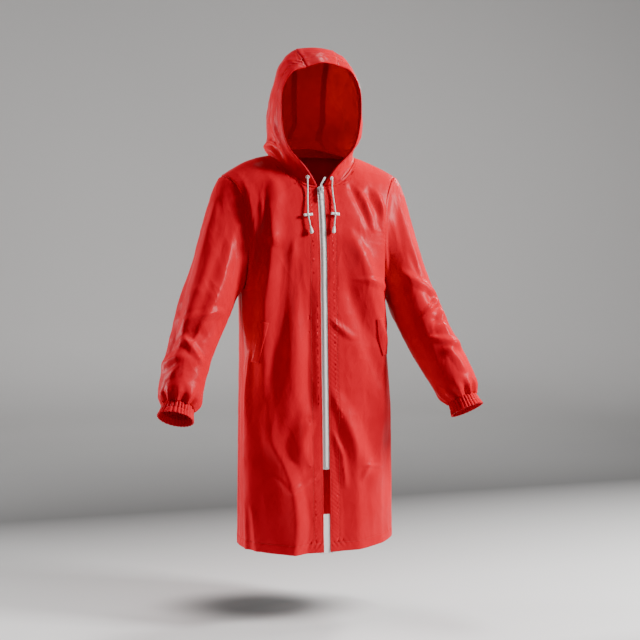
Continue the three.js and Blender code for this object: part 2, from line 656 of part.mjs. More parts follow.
function hoodSideRows(side) {
  const neck = necklinePoints(side).slice(0, -2);
  const columns = neck.length;
  const face = facePoint;
  const crown = (u) => stripPoint(HOOD_CORNER * u, 1, 0);
  const nape = (v) => stripPoint(mix(1, HOOD_CORNER, v), 1, 0);
  const corners = { low: neck[0], lowBack: neck[columns - 1], high: face(1), highBack: crown(1) };
  const rows = [];
  for (let r = 0; r <= HOOD_ROWS; r += 1) {
    const v = r / HOOD_ROWS;
    rows.push(neck.map((start, c) => {
      const u = c / (columns - 1);
      const frontEnd = face(v).lerp(corners.low, (1 - v) ** 8);
      const backEnd = nape(v).lerp(corners.lowBack, (1 - v) ** 8);
      const p = start.clone().multiplyScalar(1 - v)
        .addScaledVector(crown(u), v)
        .addScaledVector(frontEnd, 1 - u)
        .addScaledVector(backEnd, u)
        .addScaledVector(corners.low, -(1 - u) * (1 - v))
        .addScaledVector(corners.lowBack, -u * (1 - v))
        .addScaledVector(corners.high, -(1 - u) * v)
        .addScaledVector(corners.highBack, -u * v);
      const fullness = HOOD_FULLNESS[side] * 16 * u * (1 - u) * v * (1 - v);
      const folds = HOOD_FOLDS
        .filter((fold) => fold.side === side)
        .reduce((sum, fold) => sum + hoodFoldHeight(fold, u, v), 0);
      const lift = r === 0 ? 0 : fullness + folds;
      return turned(p.addScaledVector(hoodFacing(p), lift), side);
    }));
  }
  return rows;
}

const hoodRows = { '-1': hoodSideRows(-1), 1: hoodSideRows(1) };

for (const side of [-1, 1]) {
  const rows = hoodRows[side];
  const sheet = gridSheet(rows.map((row, r) =>
    row.map((p, c) => {
      let moved = p;
      if (r === HOOD_ROWS) moved = drawnTo(moved, rows[r - 1][c], SHARP_EASE);
      if (c === row.length - 1) moved = drawnTo(moved, row[c - 1], SHARP_EASE);
      return moved;
    })));
  const wall = clothWall(side < 0 ? mirrored(sheet) : sheet, { facing: hoodFacing });
  addPiece(`hood_side_${SIDE_NAMES[side]}`, wall, redCloth());
}

// The strip has the side panels' points along its edges.
const neckColumns = hoodRows[1][0].length;
const stripPlaces = [
  ...Array.from({ length: neckColumns }, (_, c) => (HOOD_CORNER * c) / (neckColumns - 1)),
  ...Array.from({ length: HOOD_ROWS }, (_, r) => mix(HOOD_CORNER, 1, (r + 1) / HOOD_ROWS)),
];
const stripEnds = [-1, 1].map((side) => necklinePoints(side).slice(-3));
const stripNeck = [
  ...stripEnds[0].map((p) => vec(-p.x, p.y, p.z)), stripEnds[1][1], stripEnds[1][0],
];
const stripRows = stripPlaces.map((at) =>
  [-1, -0.5, 0, 0.5, 1].map((s, k) => {
    const crown = STRIP_CROWN * (1 - s * s) * smooth((1 - at) / 0.12);
    const p = stripPoint(at, s, SHARP_EASE);
    const low = at < HOOD_CORNER ? 0 : ((at - HOOD_CORNER) / (1 - HOOD_CORNER)) ** 8;
    return turned(p.addScaledVector(hoodFacing(p), crown).lerp(stripNeck[k], low), 1);
  }));
addPiece('hood_strip', clothWall(gridSheet(stripRows), { facing: hoodFacing }), redCloth());


// The hood's edge is turned in and sewn down as a casing for the cords. It follows the inside of
// the panels, from one end of the zip over the forehead to the other.
const CASING_START = 0.3;       // where it starts, as a share of the first row of faces

const casingSide = (side) => hoodRows[side].map((row, r) => {
  const below = r ? row : row.map((p, c) => p.clone().lerp(hoodRows[side][1][c], CASING_START));
  return below.slice(0, 2).map((p) => vec(side * p.x, p.y, p.z));
});
const casingTop = [1, 2, 3].map((column) => [stripRows[0][column], stripRows[1][column]]);
const casing = gridSheet(
  [...casingSide(-1), ...casingTop, ...casingSide(1).reverse()], false, true);
addPiece('hood_casing', clothWall(shifted(casing, -(WALL + SEAM_GAP + 0.25))), redCloth());

// What lies on a front is placed by x and z on the panel's own triangles.
function onRows(rows, x, z) {
  for (let r = 0; r + 1 < rows.length; r += 1) {
    for (let c = 0; c + 1 < rows[r].length; c += 1) {
      const corners = [rows[r][c], rows[r][c + 1], rows[r + 1][c + 1], rows[r + 1][c]];
      const split = corners[0].distanceTo(corners[2]) <= corners[1].distanceTo(corners[3])
        ? [[0, 1, 2], [0, 2, 3]]
        : [[0, 1, 3], [1, 2, 3]];
      for (const three of split) {
        const [a, b, d] = three.map((k) => corners[k]);
        const area = (b.x - a.x) * (d.z - a.z) - (d.x - a.x) * (b.z - a.z);
        const second = ((x - a.x) * (d.z - a.z) - (d.x - a.x) * (z - a.z)) / area;
        const third = ((b.x - a.x) * (z - a.z) - (x - a.x) * (b.z - a.z)) / area;
        if (second < -1e-6 || third < -1e-6 || second + third > 1 + 1e-6) continue;
        const normal = b.clone().sub(a).cross(d.clone().sub(a)).normalize();
        return { point: vec(x, mix(a.y, b.y, second) + third * (d.y - a.y), z), normal };
      }
    }
  }
  throw new Error(`nothing lies at ${x}, ${z}`);
}

function aboveFront(side, x, z, height) {
  const { point, normal } = onRows(halves[side].front, x, z);
  return point.addScaledVector(normal, height);
}

// The pockets' welts: slanted strips that lie on the fronts.
const WELTS = {
  '-1': { topX: 113, topZ: -321, endX: 130, endZ: -398 },
  1: { topX: 111, topZ: -318, endX: 126, endZ: -390 },
};
const WELT_WIDTH = 14;
const WELT_STEPS = 8;

for (const side of [-1, 1]) {
  const { topX, topZ, endX, endZ } = WELTS[side];
  const along = vec(endX - topX, 0, endZ - topZ).normalize().multiplyScalar(WELT_WIDTH);
  const rows = Array.from({ length: WELT_STEPS + 1 }, (_, k) => {
    const [x, z] = [mix(topX, endX, k / WELT_STEPS), mix(topZ, endZ, k / WELT_STEPS)];
    return [-0.5, -0.2, 0.1, 0.5].map((s) =>
      aboveFront(side, x - along.z * s, z + along.x * s, WALL + SEAM_GAP + 0.6));
  });
  const sheet = gridSheet(rows, false, true);
  addPiece(`pocket_welt_${SIDE_NAMES[side]}`, clothWall(side < 0 ? mirrored(sheet) : sheet),
    redCloth());
}

// The zip, in the slot between the fronts. Its tapes lie behind the fronts' edges.
const ZIP_TOP = -64.5;
const ZIP_END = -604;
const TAB_TOP = -690;           // the strip that joins the fronts at the hem starts here
const TAPE = 1;                 // thickness of the tapes
const TAPE_X = [0.7, SLOT_HALF, 13.5];
const TAPE_DEPTH = WALL / 2 + SEAM_GAP + 0.15 + TAPE / 2;
const CHAIN = { half: 2.6, thickness: 1.8 };

const edgeHeights = halves[1].front
  .slice(0, SKIRT_ROWS + CHEST_ROWS + 1)
  .map((row) => row[0].z);
const heightsBetween = (low, high) =>
  [low, ...edgeHeights.filter((z) => z > low + 5 && z < high - 5), high];

// A point of the zip: behind the front's edge, or in the slot at the same depth.
function zipPoint(side, x, z, height) {
  const held = Math.max(z, HEM_Z + 0.1);
  const p = aboveFront(side, Math.max(x, SLOT_HALF + 0.05), held, height);
  return vec(x, p.y, z + p.z - held);
}

// The wearer's left tape runs on past its end, loose beside the edge of the hood.
const LOOSE_END = [
  { x: 2.6, half: 2, y: -63.4, z: -61 },
  { x: 3.6, half: 2, y: -64.6, z: -57 },
  { x: 7.2, half: 2.2, y: -66.6, z: -50 },
  { x: 9.4, half: 2.1, y: -67.6, z: -45 },
];

for (const side of [-1, 1]) {
  const rows = heightsBetween(ZIP_END, ZIP_TOP).map((z) =>
    TAPE_X.map((x) => zipPoint(side, x, z, -TAPE_DEPTH)));
  if (side > 0) {
    for (const end of LOOSE_END) {
      rows.push([-1, 0, 1].map((s) => vec(end.x + s * end.half, end.y, end.z)));
    }
  }
  const sheet = gridSheet(rows);
  addPiece(`zip_tape_${SIDE_NAMES[side]}`,
    clothWall(side < 0 ? mirrored(sheet) : sheet, { thickness: TAPE }), whiteTape());
}

const hemTapeRows = heightsBetween(HEM_Z - 2.5, TAB_TOP).map((z) => [
  ...[13.5, SLOT_HALF].map((x) => zipPoint(-1, x, z, -TAPE_DEPTH)).map((p) => vec(-p.x, p.y, p.z)),
  ...[0.1, SLOT_HALF, 13.5].map((x) => zipPoint(1, x, z, -TAPE_DEPTH)),
]);
addPiece('hem_tape', clothWall(gridSheet(hemTapeRows), { thickness: TAPE }), whiteTape());

const SLIDER = { z: -70.5, half: 5.4, length: 12, depth: 4.6 };
const chainRows = heightsBetween(ZIP_END + 4.5, SLIDER.z - SLIDER.length / 2 - 0.5).map((z) =>
  [-1, 1].map((s) => {
    const p = zipPoint(1, SLOT_HALF, z, 0);
    return vec(s * CHAIN.half, p.y, p.z);
  }));
addPiece('zip_chain', clothWall(gridSheet(chainRows), { thickness: CHAIN.thickness }), whitePlastic());

const solids = await loadSolids();
solids.setup();

function toSolid(geometry) {
  const bare = new THREE.BufferGeometry();
  bare.setAttribute('position', geometry.getAttribute('position'));
  if (geometry.index) bare.setIndex(geometry.index);
  const merged = mergeVertices(bare, 1e-4);
  return new solids.Manifold(new solids.Mesh({
    numProp: 3,
    vertProperties: merged.getAttribute('position').array,
    triVerts: new Uint32Array(merged.index.array),
  }));
}

function united(geometries) {
  const mesh = solids.Manifold.union(geometries.map(toSolid)).getMesh();
  const geometry = new THREE.BufferGeometry();
  geometry.setAttribute('position', new THREE.BufferAttribute(mesh.vertProperties, 3));
  geometry.setIndex(new THREE.BufferAttribute(mesh.triVerts, 1));
  geometry.computeVertexNormals();
  return geometry;
}

// A plate of an outline in x and z, from y0 to y1 with y0 in front.
function plate(outline, y0, y1, holes = []) {
  const shape = new THREE.Shape(outline.map(([x, z]) => new THREE.Vector2(x, z)));
  for (const hole of holes) {
    shape.holes.push(new THREE.Path(hole.map(([x, z]) => new THREE.Vector2(x, z))));
  }
  const geometry = new THREE.ExtrudeGeometry(shape, { depth: y1 - y0, bevelEnabled: false });
  return geometry.rotateX(Math.PI / 2).translate(0, y1, 0);
}

// The outline of a box with rounded corners.
function roundedBox(halfX, z0, z1, radius, steps = 4) {
  const corners = [
    [halfX - radius, z1 - radius, 0],
    [-halfX + radius, z1 - radius, 90],
    [-halfX + radius, z0 + radius, 180],
    [halfX - radius, z0 + radius, 270],
  ];
  return corners.flatMap(([x, z, start]) =>
    Array.from({ length: steps + 1 }, (_, k) => {
      const angle = degrees(start + (90 * k) / steps);
      return [x + radius * Math.cos(angle), z + radius * Math.sin(angle)];
    }));
}

// The slider sits at the top of the chain. Its frame leans back with the front: y is 0 at the
// cloth's middle surface, and z is 0 half way up the slider.
const sliderSeat = zipPoint(1, SLOT_HALF, SLIDER.z, 0);
const seatAbove = zipPoint(1, SLOT_HALF, SLIDER.z + 4, 0);
const lean = -Math.atan2(seatAbove.y - sliderSeat.y, seatAbove.z - sliderSeat.z);
const seated = (geometry) =>
  geometry.rotateX(lean).translate(0, sliderSeat.y, sliderSeat.z);

const BODY_FRONT = -0.8 - SLIDER.depth + 0.9;
const PIN = { z: 0.6, y: BODY_FRONT - 2.5, halfHeight: 0.8 };
const BRIDGE = { half: 1.4, top: 4.6, foot: -3.4, rise: 5.4, bar: 1.3 };
const body = plate(
  roundedBox(SLIDER.half, -SLIDER.length / 2, SLIDER.length / 2, 2.2), BODY_FRONT, -0.8 + 0.9);
const bridgeOutline = [
  [BODY_FRONT + 0.5, BRIDGE.foot],
  [BODY_FRONT - BRIDGE.rise + 1.2, BRIDGE.foot],
  [BODY_FRONT - BRIDGE.rise, BRIDGE.foot + 1.2],
  [BODY_FRONT - BRIDGE.rise, BRIDGE.top - 1.2],
  [BODY_FRONT - BRIDGE.rise + 1.2, BRIDGE.top],
  [BODY_FRONT + 0.5, BRIDGE.top],
  [BODY_FRONT + 0.5, BRIDGE.top - BRIDGE.bar],
  [BODY_FRONT - BRIDGE.rise + BRIDGE.bar, BRIDGE.top - BRIDGE.bar],
  [BODY_FRONT - BRIDGE.rise + BRIDGE.bar, BRIDGE.foot + BRIDGE.bar],
  [BODY_FRONT + 0.5, BRIDGE.foot + BRIDGE.bar],
];
const bridge = plate(bridgeOutline, -BRIDGE.half, BRIDGE.half).rotateZ(Math.PI / 2);
addPiece('zip_slider', seated(united([body, bridge])), zipMetal());

// The pull tab hangs on the bridge by the bar above its upper hole and turns about that bar.
const PULL = { half: 3.8, length: 24, thickness: 1.5 };
const pullTop = PIN.z + PIN.halfHeight;
const pull = plate(
  roundedBox(PULL.half, pullTop - PULL.length, pullTop, 1.6),
  PIN.y - PULL.thickness / 2, PIN.y + PULL.thickness / 2,
  [
    roundedBox(2.1, PIN.z - PIN.halfHeight - 4.4, PIN.z - PIN.halfHeight, 0.5, 2).reverse(),
    roundedBox(1.7, pullTop - PULL.length + 2.2, PIN.z - 7.4, 1.5, 3).reverse(),
  ]);
addPiece('zip_pull', seated(pull), zipMetal());

// A stop clamps the chain at its lower end.
const stopSeat = zipPoint(1, SLOT_HALF, ZIP_END + 1.9, 0);
addPiece('zip_stop',
  plate(roundedBox(3.4, -1.9, 1.9, 0.6, 2), -1.5, 0.8).translate(0, stopSeat.y, stopSeat.z),
  zipMetal());

// The drawcords come out of eyelets in the hood's casing, pass through a toggle bar each and end
// in a weight.
const CORD_RADIUS = 1.4;
const CORDS = {
  '-1': {
    eyeX: 25, eyeZ: -45, barZ: -118, tilt: 8,
    route: [
      [-25.6, -68.4, -45.7], [-26.0, -69.5, -46.2], [-26.4, -70.9, -49.6], [-26.3, -71.3, -56.6],
      [-26.2, -71.6, -63.2], [-26.5, -72.8, -69.7], [-27.0, -74.4, -76.2], [-27.5, -76.2, -82.6],
      [-28.0, -78.1, -88.9], [-28.5, -80.1, -95.3], [-28.9, -82.1, -101.6], [-29.4, -84.0, -108.0],
      [-29.7, -85.8, -114.4], [-29.2, -87.4, -120.8], [-28.1, -88.7, -127.2], [-27.1, -89.9, -133.7],
      [-26.1, -91.0, -140.2],
    ],
  },
  1: {
    eyeX: 21.5, eyeZ: -46.5, barZ: -116, tilt: 12,
    route: [
      [22.1, -68.9, -47.2], [22.5, -70.0, -47.7], [22.9, -71.3, -51.1], [22.6, -71.5, -57.8],
      [22.3, -71.8, -64.2], [22.5, -73.1, -70.6], [22.8, -74.7, -76.9], [23.2, -76.4, -83.1],
      [23.6, -78.3, -89.3], [23.9, -80.3, -95.5], [24.2, -82.2, -101.6], [24.6, -84.1, -107.8],
      [24.7, -85.9, -114.0], [24.0, -87.4, -120.3], [22.9, -88.6, -126.6], [22.0, -89.8, -132.9],
      [21.0, -90.9, -139.2],
    ],
  },
};

// A round rope along points, closed by a small cone at each end.
function rope(points, radius, sides = 8) {
  const curve = new THREE.CatmullRomCurve3(points);
  const count = 26;
  const frames = curve.computeFrenetFrames(count, false);
  const position = [];
  const index = [];
  for (let k = 0; k <= count; k += 1) {
    const centre = curve.getPointAt(k / count);
    for (let j = 0; j < sides; j += 1) {
      const angle = (2 * Math.PI * j) / sides;
      const p = centre.clone()
        .addScaledVector(frames.normals[k], radius * Math.cos(angle))
        .addScaledVector(frames.binormals[k], radius * Math.sin(angle));
      position.push(...p.toArray());
      if (k === count) continue;
      const next = (j + 1) % sides;
      const [a, b, c, d] = [k * sides + j, k * sides + next, (k + 1) * sides + next, (k + 1) * sides + j];
      index.push(a, b, c, a, c, d);
    }
  }
  const tips = [curve.getPointAt(0), curve.getPointAt(1)];
  for (const tip of tips) position.push(...tip.toArray());
  const [first, last] = [(count + 1) * sides, (count + 1) * sides + 1];
  for (let j = 0; j < sides; j += 1) {
    const next = (j + 1) % sides;
    index.push(first, next, j, last, count * sides + j, count * sides + next);
  }
  const geometry = new THREE.BufferGeometry();
  geometry.setAttribute('position', new THREE.Float32BufferAttribute(position, 3));
  geometry.setIndex(index);
  geometry.computeVertexNormals();
  return { geometry, curve };
}

// Turns a geometry made along +Z, so that it runs along a direction, and moves it to a place.
const aimed = (geometry, direction, place) => geometry
  .applyQuaternion(new THREE.Quaternion().setFromUnitVectors(vec(0, 0, 1), direction))
  .translate(place.x, place.y, place.z);

const BAR = { half: 9, radius: 2.1, boss: 3.2, hole: 1.95, width: 4.2 };

function toggleOutline() {
  const halfHeight = (x) => {
    const past = Math.max(0, Math.abs(x) - BAR.half + BAR.radius);
    const bar = Math.sqrt(Math.max(0, BAR.radius ** 2 - past ** 2));
    return Math.max(bar, Math.sqrt(Math.max(0, BAR.boss ** 2 - x * x)), 0.25);
  };
  const xs = Array.from({ length: 25 }, (_, k) => BAR.half * Math.sin(degrees(-90 + 7.5 * k)));
  return [...xs.map((x) => [x, -halfHeight(x)]), ...xs.reverse().map((x) => [x, halfHeight(x)])];
}

const END_PROFILE = [
  { radius: 1.7, down: 0 },
  { radius: 2.2, down: 2 },
  { radius: 3.1, down: 6.5 },
  { radius: 3.7, down: 10.5 },
  { radius: 3.2, down: 12.8 },
  { radius: 1.8, down: 13.9 },
];

for (const side of [-1, 1]) {
  const cord = CORDS[side];
  const world = (p) => vec(side * p.x, p.y, p.z);
  const seat = onRows(hoodRows[side], cord.eyeX, cord.eyeZ);
  const eye = (height) => seat.point.clone().addScaledVector(seat.normal, height);
  const normal = vec(side * seat.normal.x, seat.normal.y, seat.normal.z);
  addPiece(`eyelet_${SIDE_NAMES[side]}`,
    aimed(new THREE.TorusGeometry(3, 0.85, 8, 20), normal, world(eye(WALL / 2 + SEAM_GAP + 1.25))),
    whitePlastic());

  const { geometry, curve } = rope(cord.route.map((p) => vec(...p)), CORD_RADIUS);
  addPiece(`cord_${SIDE_NAMES[side]}`, geometry, whiteTape());

  const steps = Array.from({ length: 201 }, (_, k) => k / 200);
  const atBar = steps.reduce((best, t) =>
    Math.abs(curve.getPointAt(t).z - cord.barZ) < Math.abs(curve.getPointAt(best).z - cord.barZ)
      ? t : best);
  const shape = new THREE.Shape(toggleOutline().map(([x, y]) => new THREE.Vector2(x, y)));
  shape.holes.push(new THREE.Path().absarc(0, 0, BAR.hole, 0, 2 * Math.PI, true));
  const bar = new THREE.ExtrudeGeometry(shape, {
    depth: BAR.width, bevelEnabled: false, curveSegments: 8,
  }).translate(0, 0, -BAR.width / 2);
  const alongCord = curve.getTangentAt(atBar);
  const level = vec(Math.cos(degrees(cord.tilt)), 0, -side * Math.sin(degrees(cord.tilt)));
  const across = level.addScaledVector(alongCord, -level.dot(alongCord)).normalize();
  const basis = new THREE.Matrix4()
    .makeBasis(across, alongCord.clone().cross(across), alongCord)
    .setPosition(curve.getPointAt(atBar));
  addPiece(`toggle_${SIDE_NAMES[side]}`, bar.applyMatrix4(basis), whitePlastic());

  const profile = [
    new THREE.Vector2(0, 0),
    ...END_PROFILE.map((row) => new THREE.Vector2(row.radius, row.down)),
    new THREE.Vector2(0, 14.2),
  ];
  const weight = new THREE.LatheGeometry(profile, 14).rotateX(Math.PI / 2);
  const down = curve.getTangentAt(1);
  const hanging = curve.getPointAt(1).addScaledVector(down, SEAM_GAP);
  addPiece(`cord_end_${SIDE_NAMES[side]}`, aimed(weight, down, hanging), whitePlastic());
}

export default coat;
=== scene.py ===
import math

import bmesh
import bpy
import numpy as np
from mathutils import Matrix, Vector


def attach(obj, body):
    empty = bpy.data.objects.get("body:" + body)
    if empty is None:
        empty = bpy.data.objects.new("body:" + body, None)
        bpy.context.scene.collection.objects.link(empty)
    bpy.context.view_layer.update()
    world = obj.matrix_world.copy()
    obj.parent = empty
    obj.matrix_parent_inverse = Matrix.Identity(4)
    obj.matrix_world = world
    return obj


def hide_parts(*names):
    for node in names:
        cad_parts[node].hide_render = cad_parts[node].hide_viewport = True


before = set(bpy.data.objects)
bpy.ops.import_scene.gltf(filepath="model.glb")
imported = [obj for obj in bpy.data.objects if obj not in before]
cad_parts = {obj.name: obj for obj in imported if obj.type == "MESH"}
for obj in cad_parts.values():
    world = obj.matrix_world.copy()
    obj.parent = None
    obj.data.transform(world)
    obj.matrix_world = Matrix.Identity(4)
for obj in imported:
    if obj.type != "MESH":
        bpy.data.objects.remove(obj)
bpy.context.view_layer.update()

# The camera stands a little to the wearer's right, just above the coat's middle, two metres away.
CAMERA_AIM = Vector((0.0173, -0.005, -0.324))
CAMERA_DISTANCE = 2.0
CAMERA_TURN = math.radians(-16)
CAMERA_RISE = math.radians(3.5)

towards_camera = Vector((
    math.sin(CAMERA_TURN) * math.cos(CAMERA_RISE),
    -math.cos(CAMERA_TURN) * math.cos(CAMERA_RISE),
    math.sin(CAMERA_RISE),
))
camera = bpy.data.objects.new("camera", bpy.data.cameras.new("camera"))
camera.data.sensor_width = 36
camera.data.lens = 56.25
camera.location = CAMERA_AIM + CAMERA_DISTANCE * towards_camera
camera.rotation_euler = towards_camera.to_track_quat("Z", "Y").to_euler()
bpy.context.scene.collection.objects.link(camera)
bpy.context.scene.camera = camera

# The drawcords: braided white cord, 2.8 mm thick, that comes out of an eyelet in the hood's
# casing, passes through a moulded toggle bar and ends in a drop-shaped weight.
CORD_RADIUS = 1.4
CORD_SIDES = 20
BRAID_PITCH = 5.0
BRAID_DEPTH = 0.09
CORD_ROUTES = {
    "right": [
        (-0.0256, -0.0684, -0.0457), (-0.0260, -0.0695, -0.0462), (-0.0264, -0.0709, -0.0496),
        (-0.0263, -0.0713, -0.0566), (-0.0262, -0.0716, -0.0632), (-0.0265, -0.0728, -0.0697),
        (-0.0270, -0.0744, -0.0762), (-0.0275, -0.0762, -0.0826), (-0.0280, -0.0781, -0.0889),
        (-0.0285, -0.0801, -0.0953), (-0.0289, -0.0821, -0.1016), (-0.0294, -0.0840, -0.1080),
        (-0.0297, -0.0858, -0.1144), (-0.0292, -0.0874, -0.1208), (-0.0281, -0.0887, -0.1272),
        (-0.0271, -0.0899, -0.1337), (-0.0261, -0.0910, -0.1402),
    ],
    "left": [
        (0.0221, -0.0689, -0.0472), (0.0225, -0.0700, -0.0477), (0.0229, -0.0713, -0.0511),
        (0.0226, -0.0715, -0.0578), (0.0223, -0.0718, -0.0642), (0.0225, -0.0731, -0.0706),
        (0.0228, -0.0747, -0.0769), (0.0232, -0.0764, -0.0831), (0.0236, -0.0783, -0.0893),
        (0.0239, -0.0803, -0.0955), (0.0242, -0.0822, -0.1016), (0.0246, -0.0841, -0.1078),
        (0.0247, -0.0859, -0.1140), (0.0240, -0.0874, -0.1203), (0.0229, -0.0886, -0.1266),
        (0.0220, -0.0898, -0.1329), (0.0210, -0.0909, -0.1392),
    ],
}


def through_rows(keys, values, at):
    """A smooth curve through the rows of a table, as cubic pieces. The slope at a row is that of
    the straight line between the rows on its two sides."""
    keys, values, at = (np.asarray(a, float) for a in (keys, values, at))
    before, after = np.r_[0, np.arange(len(keys) - 1)], np.r_[np.arange(1, len(keys)), len(keys) - 1]
    slope = (values[after] - values[before]) / (keys[after] - keys[before])
    i = np.clip(np.searchsorted(keys, at, side="right") - 1, 0, len(keys) - 2)
    span = keys[i + 1] - keys[i]
    t = np.clip((at - keys[i]) / span, 0, 1)
    return ((2 * t**3 - 3 * t**2 + 1) * values[i] + (t**3 - 2 * t**2 + t) * span * slope[i]
            + (3 * t**2 - 2 * t**3) * values[i + 1] + (t**3 - t**2) * span * slope[i + 1])


def even_route(points, step):
    """Points at even steps on a smooth curve through the given ones, and the distance to each."""
    points = np.asarray(points, float)
    reach = np.r_[0, np.cumsum(np.linalg.norm(np.diff(points, axis=0), axis=1))]
    at = np.linspace(0, reach[-1], max(2, int(round(reach[-1] / step)) + 1))
    return np.stack([through_rows(reach, points[:, k], at) for k in range(3)], axis=-1), at


def unit(vectors):
    return vectors / np.maximum(np.linalg.norm(vectors, axis=-1, keepdims=True), 1e-12)


def rings_along(route, radius, sides):
    """Rings square to a route: centre + radius (cos angle u + sin angle v), where u leans to +X."""
    along = unit(np.gradient(route, axis=0))
    u = unit(np.cross(np.cross(along, [1.0, 0.0, 0.0]), along))
    v = np.cross(along, u)
    angle = np.arange(sides) * 2 * np.pi / sides
    spokes = np.cos(angle)[None, :, None] * u[:, None] + np.sin(angle)[None, :, None] * v[:, None]
    return route[:, None] + np.asarray(radius)[..., None] * spokes


def mesh_piece(name, points, faces, uv=None, smooth=True):
    """A piece of points in millimetres and faces. uv holds a place in metres for each point of
    each face, laid flat."""
    mesh = bpy.data.meshes.new(name)
    mesh.from_pydata((np.asarray(points, float).reshape(-1, 3) * 0.001).tolist(), [], faces)
    if uv is not None:
        layer = mesh.uv_layers.new(name="flat")
        layer.data.foreach_set("uv", np.asarray(uv, np.float32).ravel())
    mesh.polygons.foreach_set("use_smooth", [smooth] * len(mesh.polygons))
    mesh.update()
    piece = bpy.data.objects.new(name, mesh)
    bpy.context.scene.collection.objects.link(piece)
    return piece


def grid_piece(name, grid, across, along, closed=False, turned=False, capped=False):
    """A piece from a grid of points in millimetres. across and along are the distances round and
    up the cloth, and become its UV map in metres. closed joins the last column to the first."""
    rows, columns = grid.shape[:2]
    index = np.arange(rows * columns).reshape(rows, columns)
    if closed:
        index = np.hstack([index, index[:, :1]])
        seam = np.linalg.norm(grid[:, 0] - grid[:, -1], axis=-1)
        across = np.hstack([across, across[:, -1:] + seam[:, None]])
        along = np.hstack([along, along[:, :1]])
    corners = [(slice(None, -1), slice(None, -1)), (slice(None, -1), slice(1, None)),
               (slice(1, None), slice(1, None)), (slice(1, None), slice(None, -1))]
    if turned:
        corners = corners[::-1]
    faces = np.stack([index[c] for c in corners], axis=-1).reshape(-1, 4)
    uv = np.stack([np.stack([across[c], along[c]], axis=-1) for c in corners], axis=-2) * 0.001
    faces, uv = faces.tolist(), uv.reshape(-1, 2)
    if capped:
        ends = [index[0, :columns][::1 if turned else -1], index[-1, :columns][::-1 if turned else 1]]
        faces += [end.tolist() for end in ends]
        uv = np.vstack([uv, np.zeros((2 * columns, 2))])
    return mesh_piece(name, grid, faces, uv)


def add_node(tree, kind, inputs=None, **settings):
    """A shader node, with its settings, values and links to other nodes' outputs."""
    made = tree.nodes.new(kind)
    for name, value in settings.items():
        setattr(made, name, value)
    for name, value in (inputs or {}).items():
        if isinstance(value, bpy.types.NodeSocket):
            tree.links.new(value, made.inputs[name])
        else:
            made.inputs[name].default_value = value
    return made


def new_material(name):
    """An empty material with its shader, ready for sockets to be set."""
    material = bpy.data.materials.new(name)
    material.use_nodes = True
    return material, material.node_tree, material.node_tree.nodes["Principled BSDF"]


def braided_cord():
    material, tree, shader = new_material("braided_white_cord")
    place = add_node(tree, "ShaderNodeTexCoord")
    fuzz = add_node(tree, "ShaderNodeTexNoise", {"Vector": place.outputs["Object"], "Scale": 900})
    tint = add_node(tree, "ShaderNodeValToRGB", {"Fac": fuzz.outputs["Fac"]})
    tint.color_ramp.elements[0].color = (0.70, 0.69, 0.66, 1)
    tint.color_ramp.elements[1].color = (0.93, 0.92, 0.90, 1)
    tint.color_ramp.elements[0].position = 0.3
    bump = add_node(tree, "ShaderNodeBump",
                    {"Height": fuzz.outputs["Fac"], "Strength": 0.4, "Distance": 0.0001})
    tree.links.new(tint.outputs["Color"], shader.inputs["Base Color"])
    tree.links.new(bump.outputs["Normal"], shader.inputs["Normal"])
    shader.inputs["Roughness"].default_value = 0.75
    shader.inputs["Sheen Weight"].default_value = 0.2
    return material


def white_moulding():
    material, tree, shader = new_material("white_moulded_plastic")
    place = add_node(tree, "ShaderNodeTexCoord")
    grain = add_node(tree, "ShaderNodeTexNoise", {"Vector": place.outputs["Object"], "Scale": 700})
    tint = add_node(tree, "ShaderNodeValToRGB", {"Fac": grain.outputs["Fac"]})
    tint.color_ramp.elements[0].color = (0.88, 0.87, 0.85, 1)
    tint.color_ramp.elements[1].color = (0.94, 0.93, 0.91, 1)
    bump = add_node(tree, "ShaderNodeBump",
                    {"Height": grain.outputs["Fac"], "Strength": 0.15, "Distance": 0.00005})
    tree.links.new(tint.outputs["Color"], shader.inputs["Base Color"])
    tree.links.new(bump.outputs["Normal"], shader.inputs["Normal"])
    shader.inputs["Roughness"].default_value = 0.35
    return material


def softened_copy(node, name, edge, body, material):
    """A copy of a solid with its edges rounded off: doubles merged, flat faces joined, bevelled."""
    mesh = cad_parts[node].data.copy()
    mesh.name = name
    work = bmesh.new()
    work.from_mesh(mesh)
    bmesh.ops.remove_doubles(work, verts=work.verts, dist=2e-6)
    bmesh.ops.dissolve_limit(work, angle_limit=math.radians(1), verts=work.verts, edges=work.edges)
    work.to_mesh(mesh)
    work.free()
    mesh.materials.clear()
    mesh.materials.append(material)
    mesh.polygons.foreach_set("use_smooth", [True] * len(mesh.polygons))
    piece = bpy.data.objects.new(name, mesh)
    bpy.context.scene.collection.objects.link(piece)
    bevel = piece.modifiers.new("rounded_edges", "BEVEL")
    bevel.width = edge * 0.001
    bevel.segments = 2
    bevel.angle_limit = math.radians(35)
    piece.modifiers.new("even_shading", "WEIGHTED_NORMAL")
    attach(piece, body)
    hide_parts(node)
    return piece


